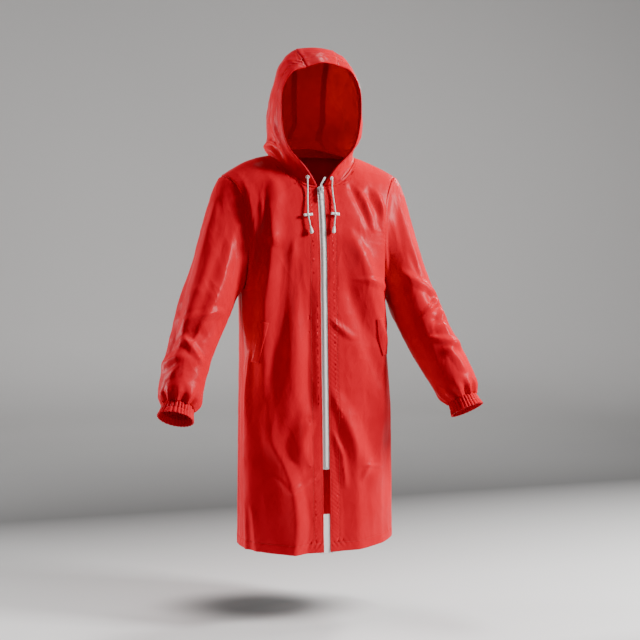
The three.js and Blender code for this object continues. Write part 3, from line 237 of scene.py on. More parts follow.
cord_material = braided_cord()
plastic = white_moulding()
for side_name, route in CORD_ROUTES.items():
    centres, reach = even_route(np.array(route) * 1000, 0.4)
    turn = np.arange(CORD_SIDES) * 2 * np.pi / CORD_SIDES
    rise = 2 * np.pi * reach[:, None] / BRAID_PITCH
    strands = np.maximum(np.cos(4 * turn + rise), np.cos(4 * turn - rise))
    ends = np.minimum(1, 0.35 + np.minimum(reach, reach[-1] - reach) / 1.2)[:, None]
    radius = (CORD_RADIUS - BRAID_DEPTH + BRAID_DEPTH * strands) * ends
    rings = rings_along(centres, radius, CORD_SIDES)
    around = np.tile(turn * CORD_RADIUS, (len(reach), 1))
    cord = grid_piece(f"drawcord_{side_name}", rings, around, np.tile(reach[:, None], CORD_SIDES),
                      closed=True, capped=True)
    cord.data.materials.append(cord_material)
    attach(cord, "coat")
    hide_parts(f"cord_{side_name}")
    toggle = softened_copy(f"toggle_{side_name}", f"toggle_bar_{side_name}", 0.5, "coat",
                           plastic)
    weight = softened_copy(f"cord_end_{side_name}", f"drop_weight_{side_name}", 0.2, "coat",
                           plastic)

# The body: a back and two fronts of thin red coated cloth, sewn up the sides and over the
# shoulders. Level rings from the hem to the armpits, then arches that rise over the shoulders.
CLOTH = 0.9
SLOT_HALF = 6.5
HEM_Z = -763
HEM_RISE = 7
ARMPIT_Z = -262
NECK_HALF = 88
SHOULDER_HALF = 183
SHOULDER_IN = {"right": 0, "left": 12}
SHOULDER_SLOPE = 0.47
SHOULDER_BULGE = {"right": 8, "left": 4}
FRONT_NECK_Z = -62
BACK_NECK_Z = 20
NAPE_CREST = 24
STRIP_NAPE_HALF = 35
NAPE_SHIFT = {"right": -10, "left": 10}
SIDE_SIGN = {"right": -1, "left": 1}
BODY_RINGS = {
    "z": [HEM_Z, -500, -400, -320, ARMPIT_Z],
    "right": [157, 153, 150, 149, 149],
    "left": [157, 153, 145, 140, 141],
    "side_y": [-32, -33, -32, -31, -28],
    "front": [84, 72, 68, 66, 66],
    "back": [88, 98, 101, 103, 103],
    "boxy": [2.3, 2.5, 2.7, 2.8, 3],
}
YOKE_HALF = 205
ARCH_CURVE = {"front": 2.1, "back": 3.4}
RIDGE_TIP_Y = -8
ARMHOLE_INSET = 9
SKIRT_STEPS = 10
CHEST_STEPS = 5
NECK_STEPS = 6
ARCH_STEPS = CHEST_STEPS + NECK_STEPS


def eased(t):
    """A step from 0 to 1 that starts and ends level: 3 t^2 - 2 t^3."""
    t = np.clip(t, 0, 1)
    return t * t * (3 - 2 * t)


def mixed(a, b, t):
    return a + (b - a) * t


def ring_value(column, z):
    return through_rows(BODY_RINGS["z"], BODY_RINGS[column], z)


def ring_points(x, z, part, side):
    """A level ring: y = side seam -/+ depth (1 - (x / half)^boxy)^(1 / boxy)."""
    boxy = ring_value("boxy", z)
    reach = np.minimum(1, x / ring_value(side, z))
    bulge = (1 - reach**boxy) ** (1 / boxy)
    depth = ring_value(part, z) * (-1 if part == "front" else 1)
    return np.stack(np.broadcast_arrays(x, ring_value("side_y", z) + depth * bulge, z), axis=-1)


def ridge_height(x, part, side):
    """Height of the shoulder seam, which runs on as a rounded crest inside the neck."""
    run = SHOULDER_HALF - NECK_HALF
    along = (x - NECK_HALF) / run
    outside = (SHOULDER_BULGE[side] * np.sin(np.pi * np.clip(along, 0, 1))
               - SHOULDER_SLOPE * run * along)
    slope = SHOULDER_SLOPE - SHOULDER_BULGE["right"] * np.pi / run
    crest = 0 if part == "front" else NAPE_CREST * (1 - (x / NECK_HALF) ** 2) ** 2
    inside = crest + slope * (NECK_HALF**2 - x**2) / (2 * NECK_HALF)
    return np.where(x > NECK_HALF, outside, inside)


def arch_points(x, rise, part, side):
    """An arch over the shoulder: a quarter of |y|^p + |z|^p = 1 from the armpit's ring to the
    ridge. rise is 0 level with the armpit and 90 at the seam."""
    widest = BODY_RINGS[side][-1]
    boxy = BODY_RINGS["boxy"][-1]
    half = mixed(widest, YOKE_HALF, eased(rise / 90))
    bulge = (1 - np.clip(x / half, 0, 1) ** boxy) ** (1 / boxy)
    depth = BODY_RINGS[part][-1] * (-1 if part == "front" else 1)
    base_y = BODY_RINGS["side_y"][-1] + depth * bulge
    seam_y = RIDGE_TIP_Y * np.clip((x - NECK_HALF) / (SHOULDER_HALF - NECK_HALF), 0, 1)
    out, up = np.cos(np.radians(rise)), np.sin(np.radians(rise))
    power = ARCH_CURVE[part]
    reach = 1 / (np.abs(out) ** power + up**power) ** (1 / power)
    return np.stack(np.broadcast_arrays(
        x, seam_y + (base_y - seam_y) * reach * out,
        ARMPIT_Z + (ridge_height(x, part, side) - ARMPIT_Z) * reach * up), axis=-1)


def armhole_x(rise, side):
    """Half width of the armhole's edge: it curves in from the side seam, then out to the tip."""
    base = BODY_RINGS[side][-1]
    cut = ARMHOLE_INSET * np.sqrt(1 - (1 - np.clip(rise / 24, 0, 1)) ** 2)
    tip = SHOULDER_HALF - SHOULDER_IN[side]
    return base - cut + (tip - base + ARMHOLE_INSET) * eased((rise - 20) / 72) ** 1.3


def neck_rise(part):
    """How far round the arch the middle of the neck lies, from the neck's height there."""
    power = ARCH_CURVE[part]
    height = FRONT_NECK_Z if part == "front" else BACK_NECK_Z
    up = (height - ARMPIT_Z) / (ridge_height(np.array(0.0), part, "left") - ARMPIT_Z)
    return np.degrees(np.arctan2(up, (1 - up**power) ** (1 / power)))


def neck_angle(step, part, side):
    """Angle round the neckline, from its middle to the shoulder seam."""
    if part == "front":
        return 90 * step / NECK_STEPS
    edge = np.degrees(np.arcsin((STRIP_NAPE_HALF + NAPE_SHIFT[side]) / NECK_HALF))
    stops = [0, edge / 2, edge, *(mixed(edge, 90, k / 4) for k in (1, 2, 3, 4))]
    return np.interp(step, range(NECK_STEPS + 1), stops)


def body_points(part, side, steps, columns):
    """Points of half a front or back for the wearer's left. steps run from the hem to the shoulder
    seam, and columns from 0 in the middle to 1 at the side seam and armhole."""
    middle = SLOT_HALF if part == "front" else 0
    spread = np.sin(np.radians(90 * columns))[None]
    steps = steps[:, None]
    low = np.clip(steps / SKIRT_STEPS, 0, 1)
    z = mixed(HEM_Z + HEM_RISE * spread**2, ARMPIT_Z, low)
    skirt = ring_points(mixed(middle, ring_value(side, z), spread), z, part, side)
    arch = np.clip(steps - SKIRT_STEPS, 0, ARCH_STEPS)
    angle = np.radians(neck_angle(np.clip(arch - CHEST_STEPS, 0, NECK_STEPS), part, side))
    start = neck_rise(part)
    inner_rise = np.where(arch < CHEST_STEPS, start * arch / CHEST_STEPS,
                          90 - (90 - start) * np.cos(angle))
    inner_x = mixed(middle, NECK_HALF, np.sin(angle))
    outer_rise = 90 * arch / ARCH_STEPS
    chest = arch_points(mixed(inner_x, armhole_x(outer_rise, side), spread),
                        mixed(inner_rise, outer_rise, columns[None]), part, side)
    return np.where((steps < SKIRT_STEPS)[..., None], skirt, chest)


def body_facing(points):
    """The direction in which the body's cloth faces, from its place alone."""
    x, y, z = np.moveaxis(points, -1, 0)
    return unit(np.stack([x * 0.27, y + 27, np.maximum(0, z + 130) * 0.8], axis=-1))


def reach_of(grid, axis):
    """Distance along each row or column of a grid from its start."""
    steps = np.linalg.norm(np.diff(grid, axis=axis), axis=-1)
    return np.concatenate([np.zeros_like(np.take(steps, [0], axis)), np.cumsum(steps, axis)], axis)


def facing_of(grid, closed=False, turned=False):
    """Directions square to a grid, outwards: the cross product of its two slopes."""
    if closed:
        wrapped = np.concatenate([grid[:, -1:], grid, grid[:, :1]], axis=1)
        across = (wrapped[:, 2:] - wrapped[:, :-2]) / 2
    else:
        across = np.gradient(grid, axis=1)
    normal = np.cross(across, np.gradient(grid, axis=0))
    return unit(-normal if turned else normal)


def denser_at_ends(count, pull=0.6):
    """Places from 0 to 1 that crowd towards both ends: t - pull sin(2 pi t) / (2 pi)."""
    t = np.linspace(0, 1, count)
    return t - pull * np.sin(2 * np.pi * t) / (2 * np.pi)


def fold_heights(folds, across, along, ends=0.22):
    """Banks that run from one place to another and die away at both ends. Across a bank the height
    is depth exp(-q^2) where it is soft, and depth exp(-1.7 (sqrt(q^2 + 0.02) - 0.14)) where it is
    crisp. lean makes one flank steeper than the other."""
    total = np.zeros_like(across)
    for a0, b0, a1, b1, width, depth, crisp, lean in folds:
        run = np.hypot(a1 - a0, b1 - b0)
        reach = ((across - a0) * (a1 - a0) + (along - b0) * (b1 - b0)) / run**2
        off = ((across - a0) * (b1 - b0) - (along - b0) * (a1 - a0)) / run
        q = off / (width * (1 + lean * np.tanh(off / width)))
        soft = np.exp(-(q**2))
        sharp = np.exp(-1.7 * (np.sqrt(q**2 + 0.02) - 0.14))
        total += depth * eased(reach / ends) * eased((1 - reach) / ends) * mixed(soft, sharp, crisp)
    return total


def puckers(along, pitch, seed):
    """The uneven ripple that a row of stitches draws up: a cosine with a wandering pitch."""
    wander = 0.9 * np.sin(along / 31 + seed) + 0.6 * np.sin(along / 13 + 2 * seed)
    strength = 0.65 + 0.35 * np.sin(along / 47 + 3 * seed)
    return strength * np.cos(2 * np.pi * along / pitch + wander)


def crumple(points, seed, scale, depth):
    """Small shallow buckles: a sum of plane waves in many directions with their crests sharpened."""
    rng = np.random.default_rng(seed)
    total = np.zeros(points.shape[:-1])
    for _ in range(7):
        direction = unit(rng.normal(size=3))
        length = scale * rng.uniform(0.6, 1.6)
        wave = np.sin(points @ direction * 2 * np.pi / length + rng.uniform(0, 6.3))
        total += 1 - 2 * np.sqrt(np.abs(wave))
    return depth * total / 7


# Folds: from across0, z0 to across1, z1, then width, depth, crispness and lean, in millimetres
# round the cloth from the middle. The first rows of each list are the folds of the solids.
BODY_FOLDS = {
    ("front", "right"): [
        (58, -160, 104, -580, 15, -8, 0, 0),
        (104, -540, 80, -790, 26, -8, 0, 0),
        (118, -95, 150, -380, 17, -7, 0, 0),
        (88, -40, 92, -185, 13, 6, 0, 0),
        (40, -300, 55, -700, 22, 5, 0, 0),
        (165, -400, 150, -790, 20, 5, 0, 0),
    ],
    ("front", "left"): [
        (56, -36, 106, -150, 10, -6, 0, 0),
        (96, -58, 140, -150, 10, -6, 0, 0),
        (60, -150, 160, -370, 16, 6, 0, 0),
        (40, -220, 130, -470, 18, -5, 0, 0),
        (15, -490, 120, -660, 18, 5, 0, 0),
        (140, -520, 125, -790, 24, -6, 0, 0),
    ],
    ("back", "right"): [
        (50, -110, 70, -600, 20, -8, 0, 0),
        (118, -150, 130, -790, 20, -6, 0, 0),
        (20, -420, 35, -790, 20, 6, 0, 0),
    ],
    ("back", "left"): [
        (36, -90, 62, -480, 18, -7, 0, 0),
        (96, -180, 104, -790, 22, 7, 0, 0),
        (58, -450, 66, -790, 18, -6, 0, 0),
    ],
}

# Creases: flat facets that meet in a sharp line, given by a few rows (z, distance from the middle,
# width of the flank towards the middle, width of the other flank, height), all in millimetres.
BODY_CREASES = {
    ("front", "right"): [
        [(-60, 101, 8, 8, 0), (-119, 102, 14, 10, 3.5), (-157, 98, 12, 22, 5),
         (-180, 90, 6, 20, 0)],
        [(-150, 100, 12, 18, 0), (-200, 101, 20, 24, 6), (-240, 106, 24, 28, 8),
         (-281, 113, 26, 30, 8), (-338, 116, 22, 28, 6), (-414, 116, 14, 26, 4),
         (-480, 119, 10, 22, 0)],
        [(-72, 117, 4, 3, 0), (-110, 117, 10, 10, 3), (-148, 122, 12, 22, 5),
         (-185, 127, 12, 24, 0)],
        [(-158, 57, 4, 3, 0), (-195, 61, 14, 14, 4), (-242, 66, 20, 19, 6), (-300, 69, 28, 22, 7),
         (-347, 71, 36, 27, 9), (-395, 74, 40, 26, 9), (-442, 83, 44, 25, 9), (-490, 95, 40, 27, 9),
         (-528, 103, 30, 22, 7), (-553, 102, 26, 22, 7), (-600, 80, 24, 38, 10),
         (-632, 68, 22, 56, 13), (-671, 61, 22, 72, 15), (-710, 59, 24, 76, 15),
         (-763, 64, 24, 76, 14)],
        [(-230, 28, 16, 20, 0), (-281, 29, 18, 24, -3), (-347, 31, 18, 26, -4),
         (-414, 34, 20, 26, -4.5), (-470, 32, 18, 24, -4), (-500, 28, 16, 20, 0)],
        [(-505, 30, 10, 16, 0), (-519, 34, 14, 24, 3), (-547, 43, 16, 34, 4.5),
         (-576, 41, 16, 32, 4), (-604, 28, 10, 20, 0)],
        [(-372, 145, 6, 4, 0), (-395, 150, 10, 6, 3.5), (-430, 154, 12, 7, 4.5),
         (-471, 157, 12, 8, 3), (-540, 160, 12, 8, 0)],
        [(-665, 148, 6, 6, 0), (-690, 142, 8, 8, 2.5), (-740, 138, 9, 9, 3.5),
         (-763, 136, 9, 9, 3.5)],
        [(-640, 162, 6, 5, 0), (-700, 159, 7, 6, 2.5), (-763, 161, 8, 6, 3.5)],
        [(-612, 101, 6, 6, 0), (-620, 92, 8, 8, 1.6), (-640, 72, 8, 8, 1.6), (-652, 62, 6, 6, 0)],
        [(-606, 14, 8, 8, 0), (-615, 22, 14, 14, 1.5), (-640, 62, 14, 14, 1.8),
         (-647, 72, 8, 8, 0)],
        [(-45, 147, 14, 8, 0), (-90, 141, 18, 12, 3.5), (-130, 140, 18, 12, 3),
         (-165, 141, 10, 8, 0)],
    ],
    ("front", "left"): [
        [(-48, 64, 5, 8, 0), (-81, 84, 13, 14, 4.5), (-110, 95, 12, 14, 5), (-135, 102, 8, 12, 3.5),
         (-152, 107, 4, 8, 0)],
        [(-60, 112, 6, 8, 0), (-91, 125, 18, 12, 4.5), (-120, 135, 24, 12, 6),
         (-157, 145, 12, 8, 4), (-178, 151, 4, 6, 0)],
        [(-140, 55, 14, 10, 0), (-163, 61, 24, 18, 3), (-214, 76, 34, 26, 5.5),
         (-273, 93, 38, 30, 7), (-323, 113, 34, 22, 6.5), (-359, 134, 24, 14, 5),
         (-390, 146, 14, 8, 0)],
        [(-236, 84, 30, 30, 0), (-243, 98, 40, 44, 2.8), (-260, 146, 40, 44, 2.8),
         (-268, 158, 30, 30, 0)],
        [(-314, 12, 8, 12, 0), (-322, 16, 12, 18, 3), (-350, 48, 14, 18, 3), (-360, 56, 10, 10, 0)],
        [(-450, 10, 8, 20, 0), (-470, 16, 14, 30, 4), (-509, 38, 20, 34, 6), (-547, 52, 24, 36, 7),
         (-614, 60, 30, 42, 6.5), (-699, 63, 30, 44, 5.5), (-763, 64, 30, 44, 5)],
        [(-528, 12, 8, 5, 0), (-545, 18, 12, 8, 3), (-576, 30, 14, 9, 4), (-625, 36, 14, 9, 3),
         (-645, 38, 8, 6, 0)],
        [(-586, 90, 6, 6, 0), (-596, 86, 8, 9, 2), (-620, 74, 8, 9, 2), (-630, 70, 6, 6, 0)],
        [(-596, 78, 16, 16, 0), (-600, 86, 20, 22, 1.4), (-606, 108, 20, 22, 1.4),
         (-610, 116, 16, 16, 0)],
        [(-330, 134, 10, 14, 0), (-380, 124, 26, 26, 5), (-450, 119, 32, 30, 6),
         (-600, 118, 36, 32, 6), (-700, 121, 36, 32, 5), (-763, 122, 32, 30, 4)],
    ],
    ("back", "right"): [
        [(-60, 52, 8, 8, 0), (-110, 58, 14, 18, 4), (-180, 64, 20, 26, 5), (-240, 66, 14, 16, 0)],
        [(-90, 112, 12, 10, 0), (-170, 108, 26, 22, 6), (-260, 98, 32, 26, 8),
         (-380, 84, 30, 24, 7), (-500, 76, 16, 14, 0)],
        [(-380, 104, 14, 10, 0), (-450, 112, 28, 20, 7), (-540, 110, 36, 26, 9),
         (-640, 100, 44, 30, 10), (-763, 96, 48, 32, 10)],
        [(-260, 30, 10, 10, 0), (-330, 34, 18, 20, 4), (-420, 44, 20, 22, 5),
         (-520, 48, 12, 14, 0)],
        [(-560, 34, 12, 12, 0), (-640, 30, 22, 26, 6), (-763, 26, 24, 28, 7)],
    ],
    ("back", "left"): [
        [(-50, 60, 8, 8, 0), (-100, 66, 16, 14, 4), (-160, 76, 20, 18, 5), (-220, 82, 12, 10, 0)],
        [(-110, 120, 12, 10, 0), (-200, 110, 28, 20, 6), (-300, 104, 32, 24, 8),
         (-420, 100, 16, 12, 0)],
        [(-350, 62, 12, 12, 0), (-430, 70, 24, 22, 6), (-540, 84, 34, 30, 9),
         (-660, 92, 38, 34, 10), (-763, 94, 38, 34, 10)],
        [(-480, 24, 10, 12, 0), (-560, 22, 18, 22, 5), (-660, 28, 20, 26, 6),
         (-763, 32, 20, 26, 6)],
    ],
}
BODY_CREASE_GAIN = 1.3
CREASE_MARGIN = 16
CREST_ROUNDING = 0.06
FOOT_ROUNDING = 0.10
ZIP_SEAM = 3.0
FACING_SEAM = 19.0
HEM_SEAM = 17.0
SEAM_DIP = 1.1
NECK_DIP = 0.3


def crease_heights(creases, across, level):
    """The sum of the creases. A flank is flat: height s, where s = 1 - distance / width, with the
    crest rounded as 1 - sqrt(q^2 + crest^2) and the foot as (s + sqrt(s^2 + foot^2)) / 2."""
    total = np.zeros_like(across)
    for rows in creases:
        keys, *columns = np.array(rows, float).T
        order = np.sign(keys[-1] - keys[0])
        at, inner, outer, height = (through_rows(order * keys, column, order * level)
                                    for column in columns)
        off = across - at
        q = np.abs(off) / np.where(off < 0, inner, outer)
        s = 1 - np.sqrt(q**2 + CREST_ROUNDING**2)
        total += height * (s + np.sqrt(s**2 + FOOT_ROUNDING**2)) / 2
    return total


def body_sheet(part, side):
    """The middle points of half a front or back, with its folds, seams and puckers."""
    fine = part == "front"
    skirt = np.linspace(0, SKIRT_STEPS, 215 if fine else 150)
    hem = np.linspace(0, 0.5, 14)
    chest = np.linspace(SKIRT_STEPS, SKIRT_STEPS + ARCH_STEPS, 180 if fine else 120)
    steps = np.unique(np.round(np.concatenate([hem, skirt[skirt > 0.5], chest]), 5))
    columns = denser_at_ends(66 if fine else 46)
    if fine:
        columns = np.unique(np.round(np.concatenate([columns, np.linspace(0, 0.12, 12)]), 5))
    grid = body_points(part, side, steps, columns)
    across = reach_of(grid, 1) + grid[:, :1, 0]
    along = reach_of(grid, 0)
    z = grid[..., 2]
    from_side = across[:, -1:] - across
    from_middle = across - across[:, :1]
    height = fold_heights(BODY_FOLDS[part, side], across, z)
    height *= eased(from_side / 26) * eased((from_middle - 14) / 34)
    creases = BODY_CREASE_GAIN * crease_heights(BODY_CREASES[part, side], across, z)
    creases *= eased(from_side / CREASE_MARGIN)
    if fine:
        creases *= eased(from_middle / CREASE_MARGIN)
    height += creases
    grid = grid + height[..., None] * body_facing(grid)

    outwards = facing_of(grid, turned=part == "back")
    up = steps[:, None] > SKIRT_STEPS + CHEST_STEPS
    from_top = along[-1:] - along
    from_hem = along
    lift = crumple(grid, 11 + len(part) + SIDE_SIGN[side], 70, 0.9) * eased(from_side / 30)
    lift -= SEAM_DIP * np.exp(-((from_side / 1.8) ** 2))
    lift -= SEAM_DIP * np.exp(-((from_top / 1.8) ** 2))
    lift += 0.5 * puckers(along, 8.5, 1.0) * np.exp(-from_side / 7) * (1 - np.exp(-from_side / 1.5))
    lift += 0.4 * (1 - eased((from_hem - HEM_SEAM) / 1.5))
    lift -= 0.7 * np.exp(-(((from_hem - HEM_SEAM) / 1.6) ** 2))
    hem_ripple = puckers(across + 0.6 * from_hem, 10, 2.0)
    lift += 0.7 * hem_ripple * np.exp(-(((from_hem - HEM_SEAM) / 9) ** 2))
    if fine:
        slant = along + 0.9 * from_middle
        band = eased(from_middle / 3) * (1 - eased((from_middle - 14) / 12))
        lift += np.where(up, 0, 0.34 * puckers(slant, 8.5, 4.0) * band)
        lift -= np.where(up, 0, 0.45 * np.exp(-(((from_middle - ZIP_SEAM) / 1.2) ** 2)))
        lift -= np.where(up, 0, 0.3 * np.exp(-(((from_middle - FACING_SEAM) / 1.6) ** 2)))
    lift -= np.where(up, NECK_DIP * np.exp(-((from_middle / 1.8) ** 2)), 0)
    grid = grid + lift[..., None] * outwards
    return {"grid": grid, "across": across, "along": along, "steps": steps, "columns": columns,
            "outwards": outwards}


def to_right(grid):
    return grid * np.array([-1.0, 1.0, 1.0])


def red_coated_cloth(name, glow):
    """Coated cloth with fine creases: the lines where a smooth noise crosses its middle value.
    glow is the share of light that passes into the cloth and shows on its other face."""
    material, tree, shader = new_material(name)
    place = add_node(tree, "ShaderNodeTexCoord")
    cloudy = add_node(tree, "ShaderNodeTexNoise", {"Vector": place.outputs["Object"], "Scale": 14,
                                                   "Detail": 4})
    tint = add_node(tree, "ShaderNodeValToRGB", {"Fac": cloudy.outputs["Fac"]})
    tint.color_ramp.elements[0].position = 0.3
    tint.color_ramp.elements[1].position = 0.7
    tint.color_ramp.elements[0].color = (0.60, 0.0030, 0.0160, 1)
    tint.color_ramp.elements[1].color = (0.68, 0.0045, 0.0200, 1)
    gloss = add_node(tree, "ShaderNodeMapRange", {"Value": cloudy.outputs["Fac"], "From Min": 0.3,
                                                  "From Max": 0.7, "To Min": 0.30, "To Max": 0.38})
    crinkle = add_node(tree, "ShaderNodeTexNoise", {"Vector": place.outputs["Object"],
                                                    "Scale": 120, "Detail": 3, "Roughness": 0.6})
    tall = add_node(tree, "ShaderNodeMapping", {"Vector": place.outputs["Object"],
                                                "Scale": (1, 1, 0.45)})
    facets = [add_node(tree, "ShaderNodeTexNoise", {"Vector": tall.outputs["Vector"], "Scale": scale,
                                                    "Detail": 1, "Distortion": 0.6})
              for scale in (16, 34)]
    creases = [add_node(tree, "ShaderNodeMath", {0: noise.outputs["Fac"], 1: 0.5},
                        operation="SUBTRACT") for noise in facets]
    creases = [add_node(tree, "ShaderNodeMath", {0: node.outputs["Value"]}, operation="ABSOLUTE")
               for node in creases]
    broad = add_node(tree, "ShaderNodeBump", {"Height": creases[0].outputs["Value"],
                                              "Strength": 0.3, "Distance": 0.010}, invert=True)
    small = add_node(tree, "ShaderNodeBump", {"Height": creases[1].outputs["Value"],
                                              "Strength": 0.4, "Distance": 0.004,
                                              "Normal": broad.outputs["Normal"]}, invert=True)
    first = add_node(tree, "ShaderNodeBump", {"Height": crinkle.outputs["Fac"], "Strength": 0.3,
                                              "Distance": 0.0006, "Normal": small.outputs["Normal"]})
    threads = add_node(tree, "ShaderNodeTexChecker", {"Vector": place.outputs["UV"], "Scale": 2200})
    weave = add_node(tree, "ShaderNodeBump", {"Height": threads.outputs["Fac"], "Strength": 0.06,
                                              "Distance": 0.00004, "Normal": first.outputs["Normal"]})
    tree.links.new(tint.outputs["Color"], shader.inputs["Base Color"])
    tree.links.new(gloss.outputs["Result"], shader.inputs["Roughness"])
    tree.links.new(weave.outputs["Normal"], shader.inputs["Normal"])
    shader.inputs["Specular IOR Level"].default_value = 0.05
    shader.inputs["Subsurface Weight"].default_value = glow
    shader.inputs["Subsurface Radius"].default_value = (1.0, 0.12, 0.12)
    shader.inputs["Subsurface Scale"].default_value = 0.0026
    return material


def sew_on(piece, node, material, flat, area, rests_on=(), held="hung", thickness=CLOTH):
    """Gives a sheet of cloth its wall, finish and place in the coat."""
    piece.data.materials.append(material)
    if thickness:
        wall = piece.modifiers.new("cloth_wall", "SOLIDIFY")
        wall.thickness = thickness * 0.001
        wall.offset = 0
    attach(piece, "coat")
    if node:
        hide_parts(node)
    return piece


red_cloth = red_coated_cloth("red_coated_cloth", 0.0)
hood_cloth = red_coated_cloth("red_coated_hood_cloth", 0.5)
BODY_CUTS = {"back_panel": ((0.470, 0.800), 0.300), "front": ((0.235, 0.765), 0.130)}
body = {(part, side): body_sheet(part, side) for part in ("front", "back") for side in SIDE_SIGN}
for side in SIDE_SIGN:
    sheet = body["front", side]
    mirror = side == "right"
    piece = grid_piece(f"front_{side}", to_right(sheet["grid"]) if mirror else sheet["grid"],
                       sheet["across"], sheet["along"], turned=mirror)
    sew_on(piece, f"front_panel_{side}", red_cloth, *BODY_CUTS["front"], rests_on=["back_panel"])

left, right = body["back", "left"], body["back", "right"]
whole = np.concatenate([to_right(right["grid"])[:, :0:-1], left["grid"]], axis=1)
piece = grid_piece("back", whole,
                   np.concatenate([-right["across"][:, :0:-1], left["across"]], axis=1),
                   np.concatenate([right["along"][:, :0:-1], left["along"]], axis=1), turned=True)
sew_on(piece, "back_panel", red_cloth, *BODY_CUTS["back_panel"],
       rests_on=["front_panel_right", "front_panel_left"])

# The sleeves: one cut each, from the armhole down, out and forward to the gathers over the cuff.
SLEEVE_SECTIONS = {
    "right": {
        "at": [0, 0.4, 0.74, 0.93, 1], "x": [219, 252, 276, 282, 286],
        "y": [-50, -84, -115, -131, -138], "z": [-290, -368, -430, -456, -468],
        "lateral": [49, 41.5, 41, 39, 29], "forward": [58, 49, 44, 40, 29],
    },
    "left": {
        "at": [0, 0.38, 0.74, 0.93, 1], "x": [198, 222, 250, 262, 267],
        "y": [-50, -80, -115, -131, -139], "z": [-290, -358, -425, -458, -474],
        "lateral": [46.5, 46.5, 44, 40, 29], "forward": [58, 51, 45, 40, 29],
    },
}
ARM_LENGTH = 209
ROUND_PER_DEGREE = 0.87
SLEEVE_COLUMNS = 150
CAP_FIRST = 0.12
CAP_LAST = 0.38
PUFFS = 11
PUFF_DEPTH = 3
CUFF_GATHERS = 28

# Folds of the sleeves: round the arm from the underarm over its front, and down from the level of
# the armpit, then width, depth, crispness and lean, in millimetres.
SLEEVE_FOLDS = {
    "right": [
        (52, 63, 131, 88, 10, -5, 0, 0),
        (70, 115, 165, 138, 10, 5, 0, 0),
        (96, -104, 104, 94, 12, 5, 0, 0),
        (174, 63, 252, 104, 10, -5, 0, 0),
    ],
    "left": [
        (61, 52, 139, 84, 12, -5, 0, 0),
        (52, 130, 131, 109, 10, 5, 0, 0),
        (83, -84, 96, 63, 12, -5, 0, 0),
        (183, 73, 261, 115, 10, 5, 0, 0),
    ],
}

# Creases of the sleeves, with the same rows: the first number is the distance down from the level
# of the armpit, and the second goes round the arm from the underarm over its front.
SLEEVE_CREASES = {
    "right": [
        [(-170, 128, 8, 8, 0), (-110, 122, 20, 18, 5), (-40, 116, 26, 24, 7), (30, 112, 26, 24, 7),
         (100, 106, 20, 18, 5), (140, 102, 10, 10, 0)],
        [(-110, 70, 8, 10, 0), (-60, 66, 18, 20, 5), (0, 68, 20, 24, 6), (60, 76, 18, 18, 5),
         (100, 84, 8, 8, 0)],
        [(10, 44, 10, 10, 0), (24, 56, 20, 20, 4.5), (52, 96, 20, 22, 4.5), (66, 112, 12, 12, 0)],
        [(76, 112, 10, 10, 0), (88, 98, 20, 22, 5), (112, 62, 20, 22, 5), (124, 48, 12, 12, 0)],
        [(104, 56, 8, 10, 0), (120, 70, 18, 20, 4.5), (148, 100, 18, 20, 4.5),
         (166, 112, 10, 10, 0)],
        [(-60, 158, 8, 8, 0), (10, 152, 16, 16, 5), (90, 146, 18, 18, 5), (160, 140, 8, 8, 0)],
        [(-140, 210, 12, 12, 0), (-60, 222, 24, 24, 6), (40, 230, 28, 28, 6),
         (120, 232, 14, 14, 0)],
        [(20, 280, 12, 12, 0), (40, 262, 22, 22, 5), (70, 230, 22, 22, 5), (90, 214, 12, 12, 0)],
    ],
    "left": [
        [(-160, 104, 10, 8, 0), (-100, 98, 22, 20, 5), (-40, 92, 24, 24, 6), (10, 90, 10, 10, 0)],
        [(-50, 48, 10, 10, 0), (-30, 66, 22, 20, 5), (0, 104, 22, 22, 5), (16, 120, 12, 12, 0)],
        [(10, 120, 10, 10, 0), (26, 102, 20, 22, 5), (40, 68, 20, 22, 5), (46, 52, 12, 12, 0)],
        [(34, 118, 8, 8, 0), (60, 102, 20, 18, 6), (90, 92, 24, 22, 7), (118, 96, 10, 10, 0)],
        [(84, 50, 8, 10, 0), (96, 64, 18, 18, 4.5), (120, 98, 20, 20, 4.5), (134, 112, 12, 12, 0)],
        [(118, 72, 8, 8, 0), (136, 82, 16, 16, 4.5), (160, 88, 16, 16, 4), (176, 88, 8, 8, 0)],
        [(-120, 150, 10, 12, 0), (-40, 160, 22, 24, 5), (50, 168, 26, 28, 6),
         (130, 170, 12, 14, 0)],
        [(-20, 280, 12, 12, 0), (10, 262, 22, 22, 5), (50, 232, 22, 22, 5), (80, 214, 12, 12, 0)],
    ],
}


def arm_frame(at, side):
    """Centre of a section across the arm and its three directions: down, outwards and forward."""
    table = SLEEVE_SECTIONS[side]

    def place(t):
        return np.stack([through_rows(table["at"], table[k], t) for k in "xyz"], axis=-1)

    low = np.clip(at, 0, 0.98)
    down = unit(place(low + 0.02) - place(low))
    forward = -unit(np.cross([1.0, 0.0, 0.0], down))
    return place(np.minimum(at, 1)), down, unit(np.cross(forward, down)), forward


def arm_points(at, around, side):
    """Rings round the arm: centre - lateral cos(around) out + forward sin(around) front."""
    centre, _, out, front = arm_frame(at, side)
    table = SLEEVE_SECTIONS[side]
    lateral = through_rows(table["at"], table["lateral"], at)
    forward = through_rows(table["at"], table["forward"], at)
    turn = np.radians(around)[None, :, None]
    return (centre[:, None] - lateral[:, None, None] * np.cos(turn) * out[:, None]
            + forward[:, None, None] * np.sin(turn) * front[:, None])


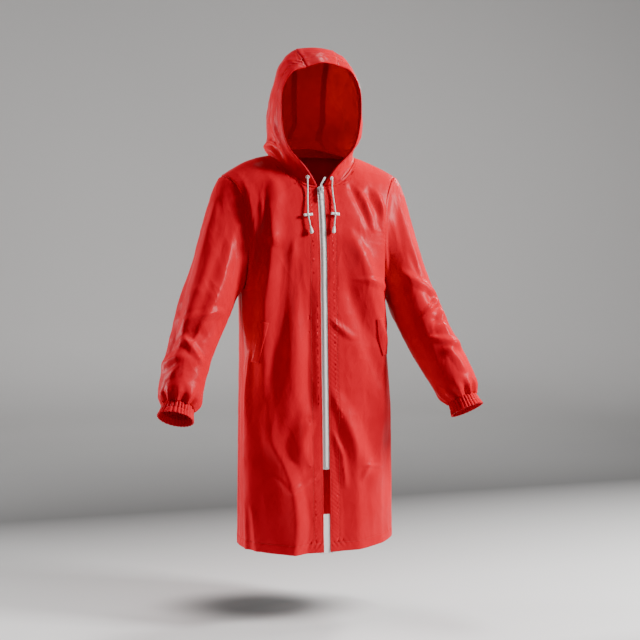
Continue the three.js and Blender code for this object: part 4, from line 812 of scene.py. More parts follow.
def armhole_loop(side, around):
    """Points of the armhole's edge, from the armpit up the front, over the tip, down the back."""
    step = around / 360 * 2 * ARCH_STEPS
    front = body_points("front", side, SKIRT_STEPS + np.clip(step, 0, ARCH_STEPS), np.ones(1))
    back = body_points("back", side, SKIRT_STEPS + np.clip(2 * ARCH_STEPS - step, 0, ARCH_STEPS),
                       np.ones(1))
    return np.where((step <= ARCH_STEPS)[:, None], front[:, 0], back[:, 0])


def sleeve_sheet(side):
    """A cubic Bezier from the armhole's edge to a ring level with the armpit, then rings down the
    arm. Puffs and gathers grow towards the cuff."""
    around = np.arange(SLEEVE_COLUMNS) * 360 / SLEEVE_COLUMNS
    loop = armhole_loop(side, around)
    facing = body_facing(loop)
    away = unit(np.cross(np.roll(loop, -1, 0) - np.roll(loop, 1, 0), facing))
    lowness = eased(1 - np.minimum(around, 360 - around) / 49)[:, None]
    start = loop + 0.5 * away + 0.5 * lowness * facing
    leaving = unit(away * (1 - lowness) + facing * lowness)
    end = arm_points(np.zeros(1), around, side)[0]
    span = np.linalg.norm(end - start, axis=-1, keepdims=True)
    down = arm_frame(np.zeros(1), side)[1][0]
    first, second = start + CAP_FIRST * span * leaving, end - CAP_LAST * span * down
    t = denser_at_ends(56, 0.5)[:-1, None, None]
    cap = ((1 - t) ** 3 * start + 3 * t * (1 - t) ** 2 * first + 3 * t * t * (1 - t) * second
           + t**3 * end)
    at = np.concatenate([np.linspace(0, 0.84, 74), np.linspace(0.84, 1, 30)[1:]])
    grid = np.concatenate([cap, arm_points(at, around, side)])
    along = np.concatenate([(t[..., 0] - 1) * span[:, 0], np.tile(at[:, None] * ARM_LENGTH,
                                                                 SLEEVE_COLUMNS)])
    across = np.tile(around * ROUND_PER_DEGREE, (len(grid), 1))
    from_top = reach_of(grid, 0)
    height = fold_heights(SLEEVE_FOLDS[side], across, along, 0.3)
    height += crease_heights(SLEEVE_CREASES[side], across, along)
    height *= eased(from_top / 22) * (1 - eased((along / ARM_LENGTH - 0.8) / 0.15))
    turn = np.radians(around)[None]
    low = along / ARM_LENGTH
    height += PUFF_DEPTH * eased((low - 0.84) / 0.16) * np.cos(PUFFS * turn + 0.5 * np.sin(3 * turn))
    gathers = np.abs(np.cos(CUFF_GATHERS / 2 * turn + 0.4 * np.sin(5 * turn)))
    height += 2.2 * eased((low - 0.93) / 0.07) * (gathers - 0.6)
    height += crumple(grid, 31 + SIDE_SIGN[side], 60, 1.3) * eased(from_top / 20)
    height -= SEAM_DIP * np.exp(-((from_top / 1.8) ** 2))
    height += 0.5 * puckers(np.tile(reach_of(loop[:, None], 0).ravel(), (len(grid), 1)), 9, 5.0) * (
        np.exp(-from_top / 9) * (1 - np.exp(-from_top / 1.5)))
    grid = grid + height[..., None] * facing_of(grid, closed=True, turned=True)
    return {"grid": grid, "across": across, "along": from_top}


SLEEVE_CUT = ((0.400, 0.450), 0.123)
for side in SIDE_SIGN:
    sheet = sleeve_sheet(side)
    mirror = side == "right"
    piece = grid_piece(f"sleeve_cloth_{side}", to_right(sheet["grid"]) if mirror else sheet["grid"],
                       sheet["across"], sheet["along"], closed=True, turned=not mirror)
    sew_on(piece, f"sleeve_{side}", red_cloth, *SLEEVE_CUT,
           rests_on=[f"front_panel_{side}", "back_panel"])
    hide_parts(f"sleeve_lower_{side}")

# The cuffs: a casing of the same cloth, folded double and drawn up by elastic into small gathers.
CUFF = {"down": [-0.6, 1.4, 12, 24], "radius": [26.4, 27, 28, 31], "depth": [1.0, 1.6, 2.6, 2.4]}
CUFF_CUT = ((0.250, 0.0246), 0.0060)


def cuff_sheet(side):
    """Rings down from the sleeve's end. Each gather is |cos|: a round back and a sharp valley."""
    centre, down, out, front = (a[0] for a in arm_frame(np.ones(1), side))
    along = np.linspace(CUFF["down"][0], CUFF["down"][-1], 26)[:, None]
    turn = np.arange(CUFF_GATHERS * 10)[None] * 2 * np.pi / (CUFF_GATHERS * 10)
    wander = 0.35 * np.sin(5 * turn) + 0.25 * np.sin(along / 7 + 3 * turn)
    gather = np.abs(np.cos(CUFF_GATHERS / 2 * turn + wander)) ** 0.8
    depth = through_rows(CUFF["down"], CUFF["depth"], along)
    radius = through_rows(CUFF["down"], CUFF["radius"], along) + depth * gather
    radius = radius - 1.0 * np.exp(-(((along - 12) / 1.2) ** 2))
    grid = (centre + along[..., None] * down - (radius * np.cos(turn))[..., None] * out
            + (radius * np.sin(turn))[..., None] * front)
    return {"grid": grid, "across": np.tile(turn * 28, (len(along), 1)),
            "along": np.tile(along, turn.shape[1])}


for side in SIDE_SIGN:
    sheet = cuff_sheet(side)
    mirror = side == "right"
    piece = grid_piece(f"gathered_cuff_{side}",
                       to_right(sheet["grid"]) if mirror else sheet["grid"],
                       sheet["across"], sheet["along"], closed=True, turned=not mirror)
    sew_on(piece, f"cuff_{side}", red_cloth, *CUFF_CUT, rests_on=[f"sleeve_{side}"],
           held="gathered", thickness=1.2)

# The hood: two side panels and a strip between them from the forehead to the nape, sewn to the
# neckline. It is worked out looking straight ahead, then turned a little.
HOOD_PROFILE = {
    "at": [0, 0.1, 0.22, 0.34, 0.46, 0.57, 0.68, 0.8, 0.9, 1],
    "y": [-80, -54, -15, 28, 66, 90, 98, 92, 72, 44],
    "z": [166, 190, 205, 202, 182, 150, 112, 76, 46, 22],
    "half": [31, 35, 39, 39, 38, 37, 36, 35, 35, 35],
}
HOOD_CORNER = 0.68
STRIP_CROWN = 5
FACE_EDGE = {
    "at": [0, 0.1, 0.2, 0.29, 0.37, 0.48, 0.61, 0.75, 0.88, 1],
    "x": [SLOT_HALF, 20, 37, 56, 69, 77, 80, 76, 58, 31],
    "y": [-69, -72, -74, -75, -75, -76, -78, -79, -80, -80],
    "z": [-62, -40, -19, -2, 15, 45, 85, 125, 156, 166],
}
HOOD_FULLNESS = {"right": -4, "left": -1}
HOOD_TURN = 0.155
HOOD_DROOP = 6
HOOD_RUN = (200, 215)
NECK_SPAN = 10
CASING_SEAM = 20.0

# Folds of the hood's sides: from the face edge back, and from the neck up.
HOOD_FOLDS = {
    "right": [
        (60, 21.5, 204, 21.5, 12, 7, 0, 0),
        (70, 43, 84, 215, 16, -5, 0, 0),
        (124, 64.5, 120, 204, 16, 5, 0, 0),
    ],
    "left": [
        (60, 32, 80, 215, 16, 5, 0, 0),
        (120, 43, 132, 204, 18, -6, 0, 0),
        (50, 26, 180, 26, 12, 4, 0, 0),
    ],
}

# Creases of the hood's sides, with the same rows: the distance up from the neck, then the distance
# back from the face edge.
HOOD_CREASES = {
    "right": [
        [(14, 52, 8, 8, 0), (40, 46, 14, 14, 4.5), (80, 40, 14, 16, 4), (118, 38, 8, 8, 0)],
        [(30, 78, 6, 8, 0), (60, 68, 12, 14, 4.5), (110, 58, 12, 16, 4.5), (150, 52, 6, 8, 0)],
        [(90, 92, 8, 8, 0), (120, 84, 14, 16, 4), (160, 74, 16, 18, 4), (190, 62, 8, 8, 0)],
        [(20, 150, 12, 12, 0), (30, 120, 18, 18, 4.5), (44, 80, 18, 18, 4.5), (52, 62, 10, 10, 0)],
        [(50, 140, 10, 10, 0), (90, 136, 22, 20, 5), (140, 130, 24, 22, 5), (180, 120, 12, 12, 0)],
    ],
    "left": [
        [(16, 60, 8, 8, 0), (50, 52, 16, 16, 4.5), (100, 46, 18, 18, 4.5), (150, 42, 8, 8, 0)],
        [(24, 112, 10, 10, 0), (60, 100, 20, 20, 5), (120, 88, 24, 24, 5), (180, 74, 12, 12, 0)],
        [(18, 160, 12, 12, 0), (28, 128, 18, 18, 4.5), (42, 84, 18, 18, 4.5), (50, 64, 10, 10, 0)],
    ],
}


def hood_turned(points, sign):
    """The hood's rear moves to the wearer's left, and its front edge droops on their right."""
    x, y, z = np.moveaxis(points, -1, 0)
    shift = HOOD_TURN * np.maximum(0, y + 40) * eased((z - 24) / 60)
    droop = eased((z - 100) / 55) * eased(0.1 - sign * x / 40) * eased(-(y + 20) / 50)
    return np.stack([x + sign * shift, y, z - HOOD_DROOP * droop], axis=-1)


def hood_facing(points):
    x, y, z = np.moveaxis(points, -1, 0)
    return unit(np.stack([x, y - 5, np.where(z > 90, z - 90, 0.1 * (z - 90))], axis=-1))


def strip_points(at, across):
    profile = [through_rows(HOOD_PROFILE["at"], HOOD_PROFILE[k], at) for k in ("half", "y", "z")]
    return np.stack(np.broadcast_arrays(across * profile[0], profile[1], profile[2]), axis=-1)


def neckline_points(place, side):
    """Points of the neckline from the zip, at 0, over the shoulder seam, at 6, to the middle of
    the back, at 12."""
    bottom = SKIRT_STEPS + CHEST_STEPS
    front = body_points("front", side, bottom + np.clip(place, 0, NECK_STEPS), np.zeros(1))
    back = body_points("back", side, bottom + np.clip(2 * NECK_STEPS - place, 0, NECK_STEPS),
                       np.zeros(1))
    points = np.where((place <= NECK_STEPS)[:, None], front[:, 0], back[:, 0])
    away = unit(np.cross(body_facing(points), np.gradient(points, axis=0)))
    return points + 0.4 * away


def neck_allowance(place, side):
    """The hood's edge below the neckline: 4 mm down inside the coat, 1.6 mm under its cloth."""
    points = neckline_points(place, side)
    away = unit(np.cross(body_facing(points), np.gradient(points, axis=0)))
    return points - 4 * away - 1.6 * body_facing(points)


def hood_side_points(side, back, up):
    """A Coons patch between the neckline, the face edge, and the crown and rear of the strip:
    the sum of the two blends between opposite edges, less the blend of the four corners."""
    u, v = back[None, :, None], up[:, None, None]
    neck = neckline_points(back * NECK_SPAN, side)[None]
    face = np.stack([through_rows(FACE_EDGE["at"], FACE_EDGE[k], up) for k in "xyz"], axis=-1)[:, None]
    crown = strip_points(HOOD_CORNER * back, 1.0)[None]
    rear = strip_points(mixed(1, HOOD_CORNER, up), 1.0)[:, None]
    low, low_back = neck[:, :1], neck[:, -1:]
    high = face[-1:]
    high_back = crown[:, -1:]
    near = (1 - v) ** 8
    front_end, back_end = mixed(face, low, near), mixed(rear, low_back, near)
    return (neck * (1 - v) + crown * v + front_end * (1 - u) + back_end * u
            - low * (1 - u) * (1 - v) - low_back * u * (1 - v) - high * (1 - u) * v
            - high_back * u * v)


def hood_side_sheet(side, back, up):
    grid = hood_side_points(side, back, up)
    u, v = back[None], up[:, None]
    fullness = HOOD_FULLNESS[side] * 16 * u * (1 - u) * v * (1 - v)
    across, along = u * HOOD_RUN[0] + 0 * v, v * HOOD_RUN[1] + 0 * u
    folds = fold_heights(HOOD_FOLDS[side], across, along, 0.25)
    folds *= eased(u / 0.16) * eased((1 - u) / 0.14) * eased((1 - v) / 0.16) * eased(v / 0.05)
    folds += crease_heights(HOOD_CREASES[side], across, along) * eased(u / 0.12) * (
        eased((1 - u) / 0.12) * eased((1 - v) / 0.1) * eased(v / 0.05))
    grid = hood_turned(grid + (fullness + folds)[..., None] * hood_facing(grid), SIDE_SIGN[side])
    outwards = facing_of(grid)
    from_face, from_neck = reach_of(grid, 1), reach_of(grid, 0)
    from_rear, from_crown = from_face[:, -1:] - from_face, from_neck[-1:] - from_neck
    lift = crumple(grid, 51 + SIDE_SIGN[side], 60, 1.8) * eased(from_face / 25) * eased(from_rear / 20)
    for distance, dip in ((from_rear, SEAM_DIP), (from_crown, SEAM_DIP), (from_neck, NECK_DIP)):
        lift -= dip * np.exp(-((distance / 1.8) ** 2))
    lift += 0.5 * puckers(from_neck, 9, 7.0) * np.exp(-from_rear / 7) * (1 - np.exp(-from_rear / 2))
    lift += 0.5 * puckers(from_face, 9, 8.0) * np.exp(-from_crown / 7) * (1 - np.exp(-from_crown / 2))
    lift += 0.7 * puckers(from_neck + from_face, 11, 9.0) * np.exp(
        -(((from_face - CASING_SEAM) / 7) ** 2))
    lift -= 0.7 * np.exp(-(((from_face - CASING_SEAM) / 1.5) ** 2))
    lift -= 0.8 * np.exp(-((from_face / 1.2) ** 2))
    grid = grid + lift[..., None] * outwards
    tuck = neck_allowance(back * NECK_SPAN, side)[None]
    return {"grid": grid, "across": across, "along": along, "outwards": outwards, "back": back,
            "up": up, "from_face": from_face, "tuck": tuck}


def nape_row(across, points_of):
    """The strip's lowest row: points_of gives it on each side, as far out as the strip reaches."""
    stops, place = np.linspace(9.8, 12, 45), 12 - 2 * np.abs(across)
    sides = {side: points_of(stops, side) for side in SIDE_SIGN}
    row = {side: np.stack([np.interp(place, stops, sides[side][:, k]) for k in range(3)], axis=-1)
           for side in SIDE_SIGN}
    return np.where((across < 0)[:, None], to_right(row["right"]), row["left"])[None]


def strip_sheet(at, across):
    s, t = across[None], at[:, None]
    grid = strip_points(t, s)
    crown = STRIP_CROWN * (1 - s**2) * eased((1 - t) / 0.12)
    grid = grid + crown[..., None] * hood_facing(grid)
    low = np.clip((t - HOOD_CORNER) / (1 - HOOD_CORNER), 0, 1) ** 8
    grid = hood_turned(mixed(grid, nape_row(across, neckline_points), low[..., None]), 1)
    outwards = facing_of(grid)
    from_side = (1 - np.abs(s)) * through_rows(HOOD_PROFILE["at"], HOOD_PROFILE["half"], t)
    along = reach_of(grid, 0)
    lift = crumple(grid, 77, 60, 1.2) * eased(from_side / 12)
    lift -= SEAM_DIP * np.exp(-((from_side / 1.8) ** 2))
    lift += 0.5 * puckers(along, 9, 6.0) * np.exp(-from_side / 7) * (1 - np.exp(-from_side / 2))
    lift -= 0.7 * np.exp(-(((along - CASING_SEAM) / 1.5) ** 2)) + 0.8 * np.exp(-((along / 1.2) ** 2))
    lift -= NECK_DIP * np.exp(-(((along[-1:] - along) / 1.8) ** 2))
    across_mm = s * through_rows(HOOD_PROFILE["at"], HOOD_PROFILE["half"], t)
    return {"grid": grid + lift[..., None] * outwards, "across": across_mm, "along": along,
            "outwards": outwards, "tuck": nape_row(across, neck_allowance)}


HOOD_SIDE_CUT = ((0.240, 0.280), 0.0415)
STRIP_CUT = ((0.080, 0.420), 0.0277)
hood = {}
for side in SIDE_SIGN:
    up = np.unique(np.round(np.concatenate([denser_at_ends(104), np.linspace(0, 0.04, 6)]), 5))
    hood[side] = hood_side_sheet(side, denser_at_ends(92), up)
    sheet, mirror = hood[side], side == "right"
    grid = np.concatenate([sheet["tuck"], sheet["grid"]])
    piece = grid_piece(f"hood_panel_{side}", to_right(grid) if mirror else grid,
                       sheet["across"][[0, *range(len(up))]],
                       np.concatenate([sheet["along"][:1] - 4, sheet["along"]]), turned=mirror)
    sew_on(piece, f"hood_side_{side}", hood_cloth, *HOOD_SIDE_CUT,
           rests_on=["back_panel", f"front_panel_{side}"])
strip = strip_sheet(denser_at_ends(190, 0.3), np.sin(np.linspace(-np.pi / 2, np.pi / 2, 33)))
piece = grid_piece("hood_middle_strip", np.concatenate([strip["grid"], strip["tuck"]]),
                   np.concatenate([strip["across"], strip["across"][-1:]]),
                   np.concatenate([strip["along"], strip["along"][-1:] + 4]))
sew_on(piece, "hood_strip", hood_cloth, *STRIP_CUT, rests_on=["hood_side_right", "hood_side_left"])

# The hood's seam allowances: the cut edges inside, pressed towards the middle of the strip.
ALLOWANCE_CUT = ((0.012, 0.370), 0.0042)


def seam_allowance(side):
    """A band of the strip's surface beside the seam, moved 1.8 mm inwards."""
    t, s = np.linspace(0.03, 0.93, 120)[:, None], SIDE_SIGN[side] * np.linspace(1, 0.7, 7)[None]
    grid = strip_points(t, s)
    crown = STRIP_CROWN * (1 - s**2) * eased((1 - t) / 0.12)
    grid = hood_turned(grid + crown[..., None] * hood_facing(grid), 1)
    grid = grid - 1.8 * facing_of(grid, turned=side == "left")
    return {"grid": grid, "across": 40 * (1 - np.abs(s)) + 0 * t, "along": reach_of(grid, 0)}


for side in SIDE_SIGN:
    sheet = seam_allowance(side)
    piece = grid_piece(f"hood_seam_allowance_{side}", sheet["grid"], sheet["across"],
                       sheet["along"], turned=side == "left")
    sew_on(piece, None, red_cloth, *ALLOWANCE_CUT, rests_on=["hood_strip"], held="folded")

# The hood's casing: its edge turned in and sewn down, with the cords inside. It starts at one end
# of the zip and runs over the forehead to the other.
CASING_START = 0.027
CASING_BACK = 0.1
CASING_CUT = ((0.560, 0.030), 0.0160)


def casing_sheet():
    """The first tenth of the hood's surface, moved inwards: 0.8 mm at the edge, then 2.1 mm."""
    back, up = np.linspace(0, CASING_BACK, 9), np.linspace(CASING_START, 1, 120)
    sides = {side: hood_side_points(side, back, up) for side in SIDE_SIGN}
    sides = {side: hood_turned(grid, SIDE_SIGN[side]) for side, grid in sides.items()}
    across = np.linspace(-1, 1, 25)[1:-1]
    top = strip_points(HOOD_CORNER * back[:, None], across[None])
    crown = STRIP_CROWN * (1 - across[None] ** 2)
    top = hood_turned(top + crown[..., None] * hood_facing(top), 1)
    grid = np.concatenate([to_right(sides["right"]), np.swapaxes(top, 0, 1), sides["left"][::-1]])
    outwards = facing_of(grid, turned=True)
    from_edge = reach_of(grid, 1)
    inwards = 0.9 + 1.2 * eased(from_edge / 3) + 0.3 * puckers(reach_of(grid, 0) + from_edge, 10, 3.0)
    return {"grid": grid - inwards[..., None] * outwards, "across": from_edge,
            "along": reach_of(grid, 0)}


casing = casing_sheet()
piece = grid_piece("drawcord_casing", casing["grid"], casing["across"], casing["along"], turned=True)
sew_on(piece, "hood_casing", red_cloth, *CASING_CUT, rests_on=["hood_side_right", "hood_side_left"],
       held="folded")

# The pocket welts: slanted strips of the same cloth, folded double, on the two fronts.
WELTS = {
    "right": {"top": (113, -321), "end": (130, -398)},
    "left": {"top": (111, -318), "end": (126, -390)},
}
WELT_WIDTH = 14
WELT_LIFT = 2.3
WELT_CUT = ((0.018, 0.082), 0.00143)


def sheet_at(sheet, steps, columns, name="grid"):
    """Values of a sheet between its grid's points, as straight mixes of the four round about."""
    row = np.interp(steps, sheet["steps"], np.arange(len(sheet["steps"])))
    column = np.interp(columns, sheet["columns"], np.arange(len(sheet["columns"])))
    r = np.minimum(row.astype(int), len(sheet["steps"]) - 2)
    c = np.minimum(column.astype(int), len(sheet["columns"]) - 2)
    fr, fc = (row - r)[..., None], (column - c)[..., None]
    values = sheet[name]
    return ((values[r, c] * (1 - fc) + values[r, c + 1] * fc) * (1 - fr)
            + (values[r + 1, c] * (1 - fc) + values[r + 1, c + 1] * fc) * fr)


def front_place(side, x, z):
    """Which step and column of a front's skirt lie at x and z."""
    spread = (x - SLOT_HALF) / (ring_value(side, z) - SLOT_HALF)
    low = (z - HEM_Z - HEM_RISE * spread**2) / (ARMPIT_Z - HEM_Z - HEM_RISE * spread**2)
    return SKIRT_STEPS * low, np.degrees(np.arcsin(spread)) / 90


def welt_sheet(side):
    """A strip along the front's surface, lifted off it and rounded across like a folded edge."""
    top, end = (np.array(WELTS[side][k], float) for k in ("top", "end"))
    run = np.linalg.norm(end - top)
    t, s = np.linspace(0, 1, 40)[:, None], np.linspace(-0.5, 0.5, 15)[None]
    x = mixed(top[0], end[0], t) - (end[1] - top[1]) / run * WELT_WIDTH * s
    z = mixed(top[1], end[1], t) + (end[0] - top[0]) / run * WELT_WIDTH * s
    steps, columns = front_place(side, x, z)
    grid, outwards = (sheet_at(body["front", side], steps, columns, k) for k in ("grid", "outwards"))
    height = WELT_LIFT - 1.0 * np.abs(2 * s) ** 6 - 0.5 * np.exp(-(((s + 0.32) / 0.07) ** 2))
    height = height + 0.12 * puckers(t * run, 9, 2.5)
    return {"grid": grid + height[..., None] * unit(outwards), "across": s * WELT_WIDTH + 0 * t,
            "along": t * run + 0 * s}


for side in SIDE_SIGN:
    sheet, mirror = welt_sheet(side), side == "right"
    piece = grid_piece(f"pocket_edge_{side}", to_right(sheet["grid"]) if mirror else sheet["grid"],
                       sheet["across"], sheet["along"], turned=not mirror)
    sew_on(piece, f"pocket_welt_{side}", red_cloth, *WELT_CUT,
           rests_on=[f"front_panel_{side}"], held="folded")

# The zip: two woven white tapes behind the edges of the fronts, with moulded teeth that mesh in
# the slot, a metal slider with a pull tab, and a stop. The left tape's end hangs loose at the top.
ZIP_TOP = -64.5
ZIP_END = -604
TAPE_X = (0.7, 13.5)
TAPE_DEPTH = 1.75
TAPE_WALL = 0.8
LOOSE_END = {
    "x": [2.6, 3.6, 7.2, 9.4], "y": [-63.4, -64.6, -66.6, -67.6],
    "z": [-61, -57, -50, -45], "half": [2, 2, 2.2, 2.1],
}
TAPE_CUT = ((0.013, 0.545), 0.0070)
TOOTH_PITCH = 3.0
TOOTH_REACH = (-2.6, 1.3)
TOOTH_DEPTH = 1.0
TOOTH_HEIGHT = 0.85
SLIDER_FOOT = -77.0
HEM_TAPE_TOP = -690
HEM_TAPE_CUT = ((0.027, 0.076), 0.0020)


def slot_line(x, z):
    """Points of the left front's plain surface at x and z, or level with its edge in the slot, and
    the directions square to it in the plane of the zip."""
    inside = np.maximum(x, SLOT_HALF)
    held = np.maximum(z, HEM_Z + 0.1)
    edge = body_points("front", "left", np.linspace(0, SKIRT_STEPS + CHEST_STEPS, 300), np.zeros(1))
    step = np.interp(held, edge[:, 0, 2], np.linspace(0, SKIRT_STEPS + CHEST_STEPS, 300))
    y = np.interp(held, edge[:, 0, 2], edge[:, 0, 1])
    back = ring_points(inside, np.minimum(held, ARMPIT_Z), "front", "left")[..., 1] - ring_points(
        SLOT_HALF + 0 * inside, np.minimum(held, ARMPIT_Z), "front", "left")[..., 1]
    slope = np.gradient(edge[:, 0, 1], edge[:, 0, 2])
    tilt = np.interp(held, edge[:, 0, 2], slope)
    outwards = unit(np.stack([0 * tilt, -np.ones_like(tilt), tilt], axis=-1))
    return np.stack(np.broadcast_arrays(x, y + back, z), axis=-1), outwards + 0 * step[..., None]


def woven_tape():
    material, tree, shader = new_material("woven_white_tape")
    place = add_node(tree, "ShaderNodeTexCoord")
    ribs = add_node(tree, "ShaderNodeTexWave", {"Vector": place.outputs["UV"], "Scale": 240},
                    wave_type="BANDS", bands_direction="X")
    picks = add_node(tree, "ShaderNodeTexWave", {"Vector": place.outputs["UV"], "Scale": 520},
                     wave_type="BANDS", bands_direction="Y")
    first = add_node(tree, "ShaderNodeBump", {"Height": ribs.outputs["Fac"], "Strength": 0.5,
                                              "Distance": 0.0002})
    second = add_node(tree, "ShaderNodeBump", {"Height": picks.outputs["Fac"], "Strength": 0.3,
                                               "Distance": 0.0001, "Normal": first.outputs["Normal"]})
    tint = add_node(tree, "ShaderNodeValToRGB", {"Fac": ribs.outputs["Fac"]})
    tint.color_ramp.elements[0].color = (0.84, 0.84, 0.83, 1)
    tint.color_ramp.elements[1].color = (0.94, 0.94, 0.93, 1)
    tree.links.new(tint.outputs["Color"], shader.inputs["Base Color"])
    tree.links.new(second.outputs["Normal"], shader.inputs["Normal"])
    shader.inputs["Roughness"].default_value = 0.6
    return material


def tape_sheet(side):
    """A tape behind the front's edge. The left one runs on into a loose end at the top."""
    x, z = np.linspace(*TAPE_X, 12)[None], np.linspace(ZIP_END, ZIP_TOP, 240)[:, None]
    points, outwards = slot_line(x + 0 * z, z + 0 * x)
    grid = points - TAPE_DEPTH * outwards
    if side == "left":
        t = np.linspace(0, 3, 22)[1:, None]
        loose = {k: through_rows(range(4), LOOSE_END[k], t) for k in LOOSE_END}
        across = np.linspace(-1, 1, 12)[None]
        end = np.stack(np.broadcast_arrays(loose["x"] + across * loose["half"], loose["y"],
                                           loose["z"]), axis=-1)
        grid = np.concatenate([grid, end])
    return {"grid": grid, "across": reach_of(grid, 1), "along": reach_of(grid, 0)}


def metal_finish():
    material, tree, shader = new_material("zip_metal_finish")
    place = add_node(tree, "ShaderNodeTexCoord")
    streaks = add_node(tree, "ShaderNodeTexNoise", {"Vector": place.outputs["Object"], "Scale": 900,
                                                    "Detail": 3})
    gloss = add_node(tree, "ShaderNodeMapRange", {"Value": streaks.outputs["Fac"], "To Min": 0.2,
                                                  "To Max": 0.42})
    tree.links.new(gloss.outputs["Result"], shader.inputs["Roughness"])
    shader.inputs["Base Color"].default_value = (0.84, 0.84, 0.85, 1)
    shader.inputs["Metallic"].default_value = 0.6
    return material


def zip_teeth():
    """Teeth on the two tapes in turn. Each is a rounded block: a sphere's directions raised to the
    power 0.45, stretched to the tooth's sizes."""
    places = np.arange(ZIP_END + 5.5, SLIDER_FOOT, TOOTH_PITCH / 2)
    centres, outwards = slot_line(np.zeros_like(places), places)
    up = unit(np.cross(outwards, [1.0, 0.0, 0.0]))
    up = up * np.sign(up[:, 2:])
    theta = (np.arange(10) + 0.5) * 2 * np.pi / 10
    phi = np.radians([-62, -25, 25, 62])[:, None]
    shape = np.stack(np.broadcast_arrays(np.sin(phi), np.cos(phi) * np.cos(theta),
                                         np.cos(phi) * np.sin(theta)), axis=-1)
    shape = np.sign(shape) * np.abs(shape) ** 0.45
    middle, half = sum(TOOTH_REACH) / 2, (TOOTH_REACH[1] - TOOTH_REACH[0]) / 2
    sign = np.where(np.arange(len(places)) % 2, 1.0, -1.0)[:, None, None]
    x = sign * (middle + half * shape[None, ..., 0])
    grid = (centres[:, None, None] + x[..., None] * np.array([1.0, 0.0, 0.0])
            + TOOTH_DEPTH * shape[None, ..., 1, None] * outwards[:, None, None]
            + TOOTH_HEIGHT * shape[None, ..., 2, None] * up[:, None, None])
    count = shape.shape[0] * shape.shape[1]
    index = np.arange(count).reshape(shape.shape[:2])
    index = np.hstack([index, index[:, :1]])
    quads = np.stack([index[:-1, :-1], index[:-1, 1:], index[1:, 1:], index[1:, :-1]], -1).reshape(-1, 4)
    faces = []
    for k in range(len(places)):
        order = slice(None) if sign[k, 0, 0] > 0 else slice(None, None, -1)
        faces += (quads[:, order] + k * count).tolist()
        faces += [(index[0, :-1] + k * count).tolist()[::-1][order],
                  (index[-1, :-1] + k * count).tolist()[order]]
    return mesh_piece("zip_teeth", grid, faces)


tape_material, metal = woven_tape(), metal_finish()
for side in SIDE_SIGN:
    sheet, mirror = tape_sheet(side), side == "right"
    piece = grid_piece(f"woven_tape_{side}", to_right(sheet["grid"]) if mirror else sheet["grid"],
                       sheet["across"], sheet["along"], turned=mirror)
    sew_on(piece, f"zip_tape_{side}", tape_material, *TAPE_CUT, rests_on=[f"front_panel_{side}"],
           held="stretched", thickness=TAPE_WALL)

teeth = zip_teeth()
teeth.data.materials.append(plastic)
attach(teeth, "coat")
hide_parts("zip_chain")

x, z = np.linspace(-13.5, 13.5, 28)[None], np.linspace(HEM_Z - 2.5, HEM_TAPE_TOP, 60)[:, None]
points, outwards = slot_line(np.abs(x) + 0 * z, z + 0 * x)
rib = 0.55 * np.exp(-(((np.abs(x) - 5.2) / 0.9) ** 2)) + 0 * z
grid = points * np.array([1.0, 1.0, 1.0]) - (TAPE_DEPTH - rib)[..., None] * outwards
grid[..., 0] = x + 0 * z
piece = grid_piece("hem_joining_tape", grid, reach_of(grid, 1), reach_of(grid, 0))
sew_on(piece, "hem_tape", tape_material, *HEM_TAPE_CUT,
       rests_on=["front_panel_right", "front_panel_left"], held="stretched", thickness=TAPE_WALL)

softened_copy("zip_slider", "slider_body", 0.3, "coat", metal)
softened_copy("zip_pull", "pull_tab_plate", 0.25, "pull_tab", metal)
softened_copy("zip_stop", "bottom_stop", 0.3, "coat", metal)
for side in SIDE_SIGN:
    softened_copy(f"eyelet_{side}", f"eyelet_ring_{side}", 0.05, "coat", plastic)

# The stitching: red thread, 0.5 mm thick, a stitch every 3.2 mm.
STITCH_PITCH = 3.2
STITCH_LENGTH = 2.5
THREAD_RADIUS = 0.28
STITCH_RINGS = [(-0.5, 0.45), (-0.22, 1.0), (0.22, 1.0), (0.5, 0.45)]
THREAD_SIDES = 5


def stitch_run(route, outwards):
    """Stitches along a route on the cloth: short five-sided threads, each arched a little."""
    route, outwards = np.asarray(route, float), np.asarray(outwards, float)
    reach = np.r_[0, np.cumsum(np.linalg.norm(np.diff(route, axis=0), axis=1))]
    at = np.arange(STITCH_PITCH / 2, reach[-1], STITCH_PITCH)
    along = np.gradient(route, reach, axis=0)
    centre, along, out = (np.stack([np.interp(at, reach, a[:, k]) for k in range(3)], axis=-1)
                          for a in (route, along, outwards))
    along, out = unit(along), unit(out)
    beside = np.cross(along, out)
    shares, sizes = np.array(STITCH_RINGS).T
    turn = np.arange(THREAD_SIDES) * 2 * np.pi / THREAD_SIDES
    lift = THREAD_RADIUS * (0.3 + 0.7 * (1 - (2 * shares) ** 2))
    up = lift[:, None] + THREAD_RADIUS * sizes[:, None] * np.cos(turn)
    side = THREAD_RADIUS * sizes[:, None] * np.sin(turn)
    run = np.repeat(shares[:, None] * STITCH_LENGTH, THREAD_SIDES, axis=1)
    return (centre[:, None, None] + run[..., None] * along[:, None, None]
            + (up + CLOTH / 2)[..., None] * out[:, None, None] + side[..., None] * beside[:, None, None])


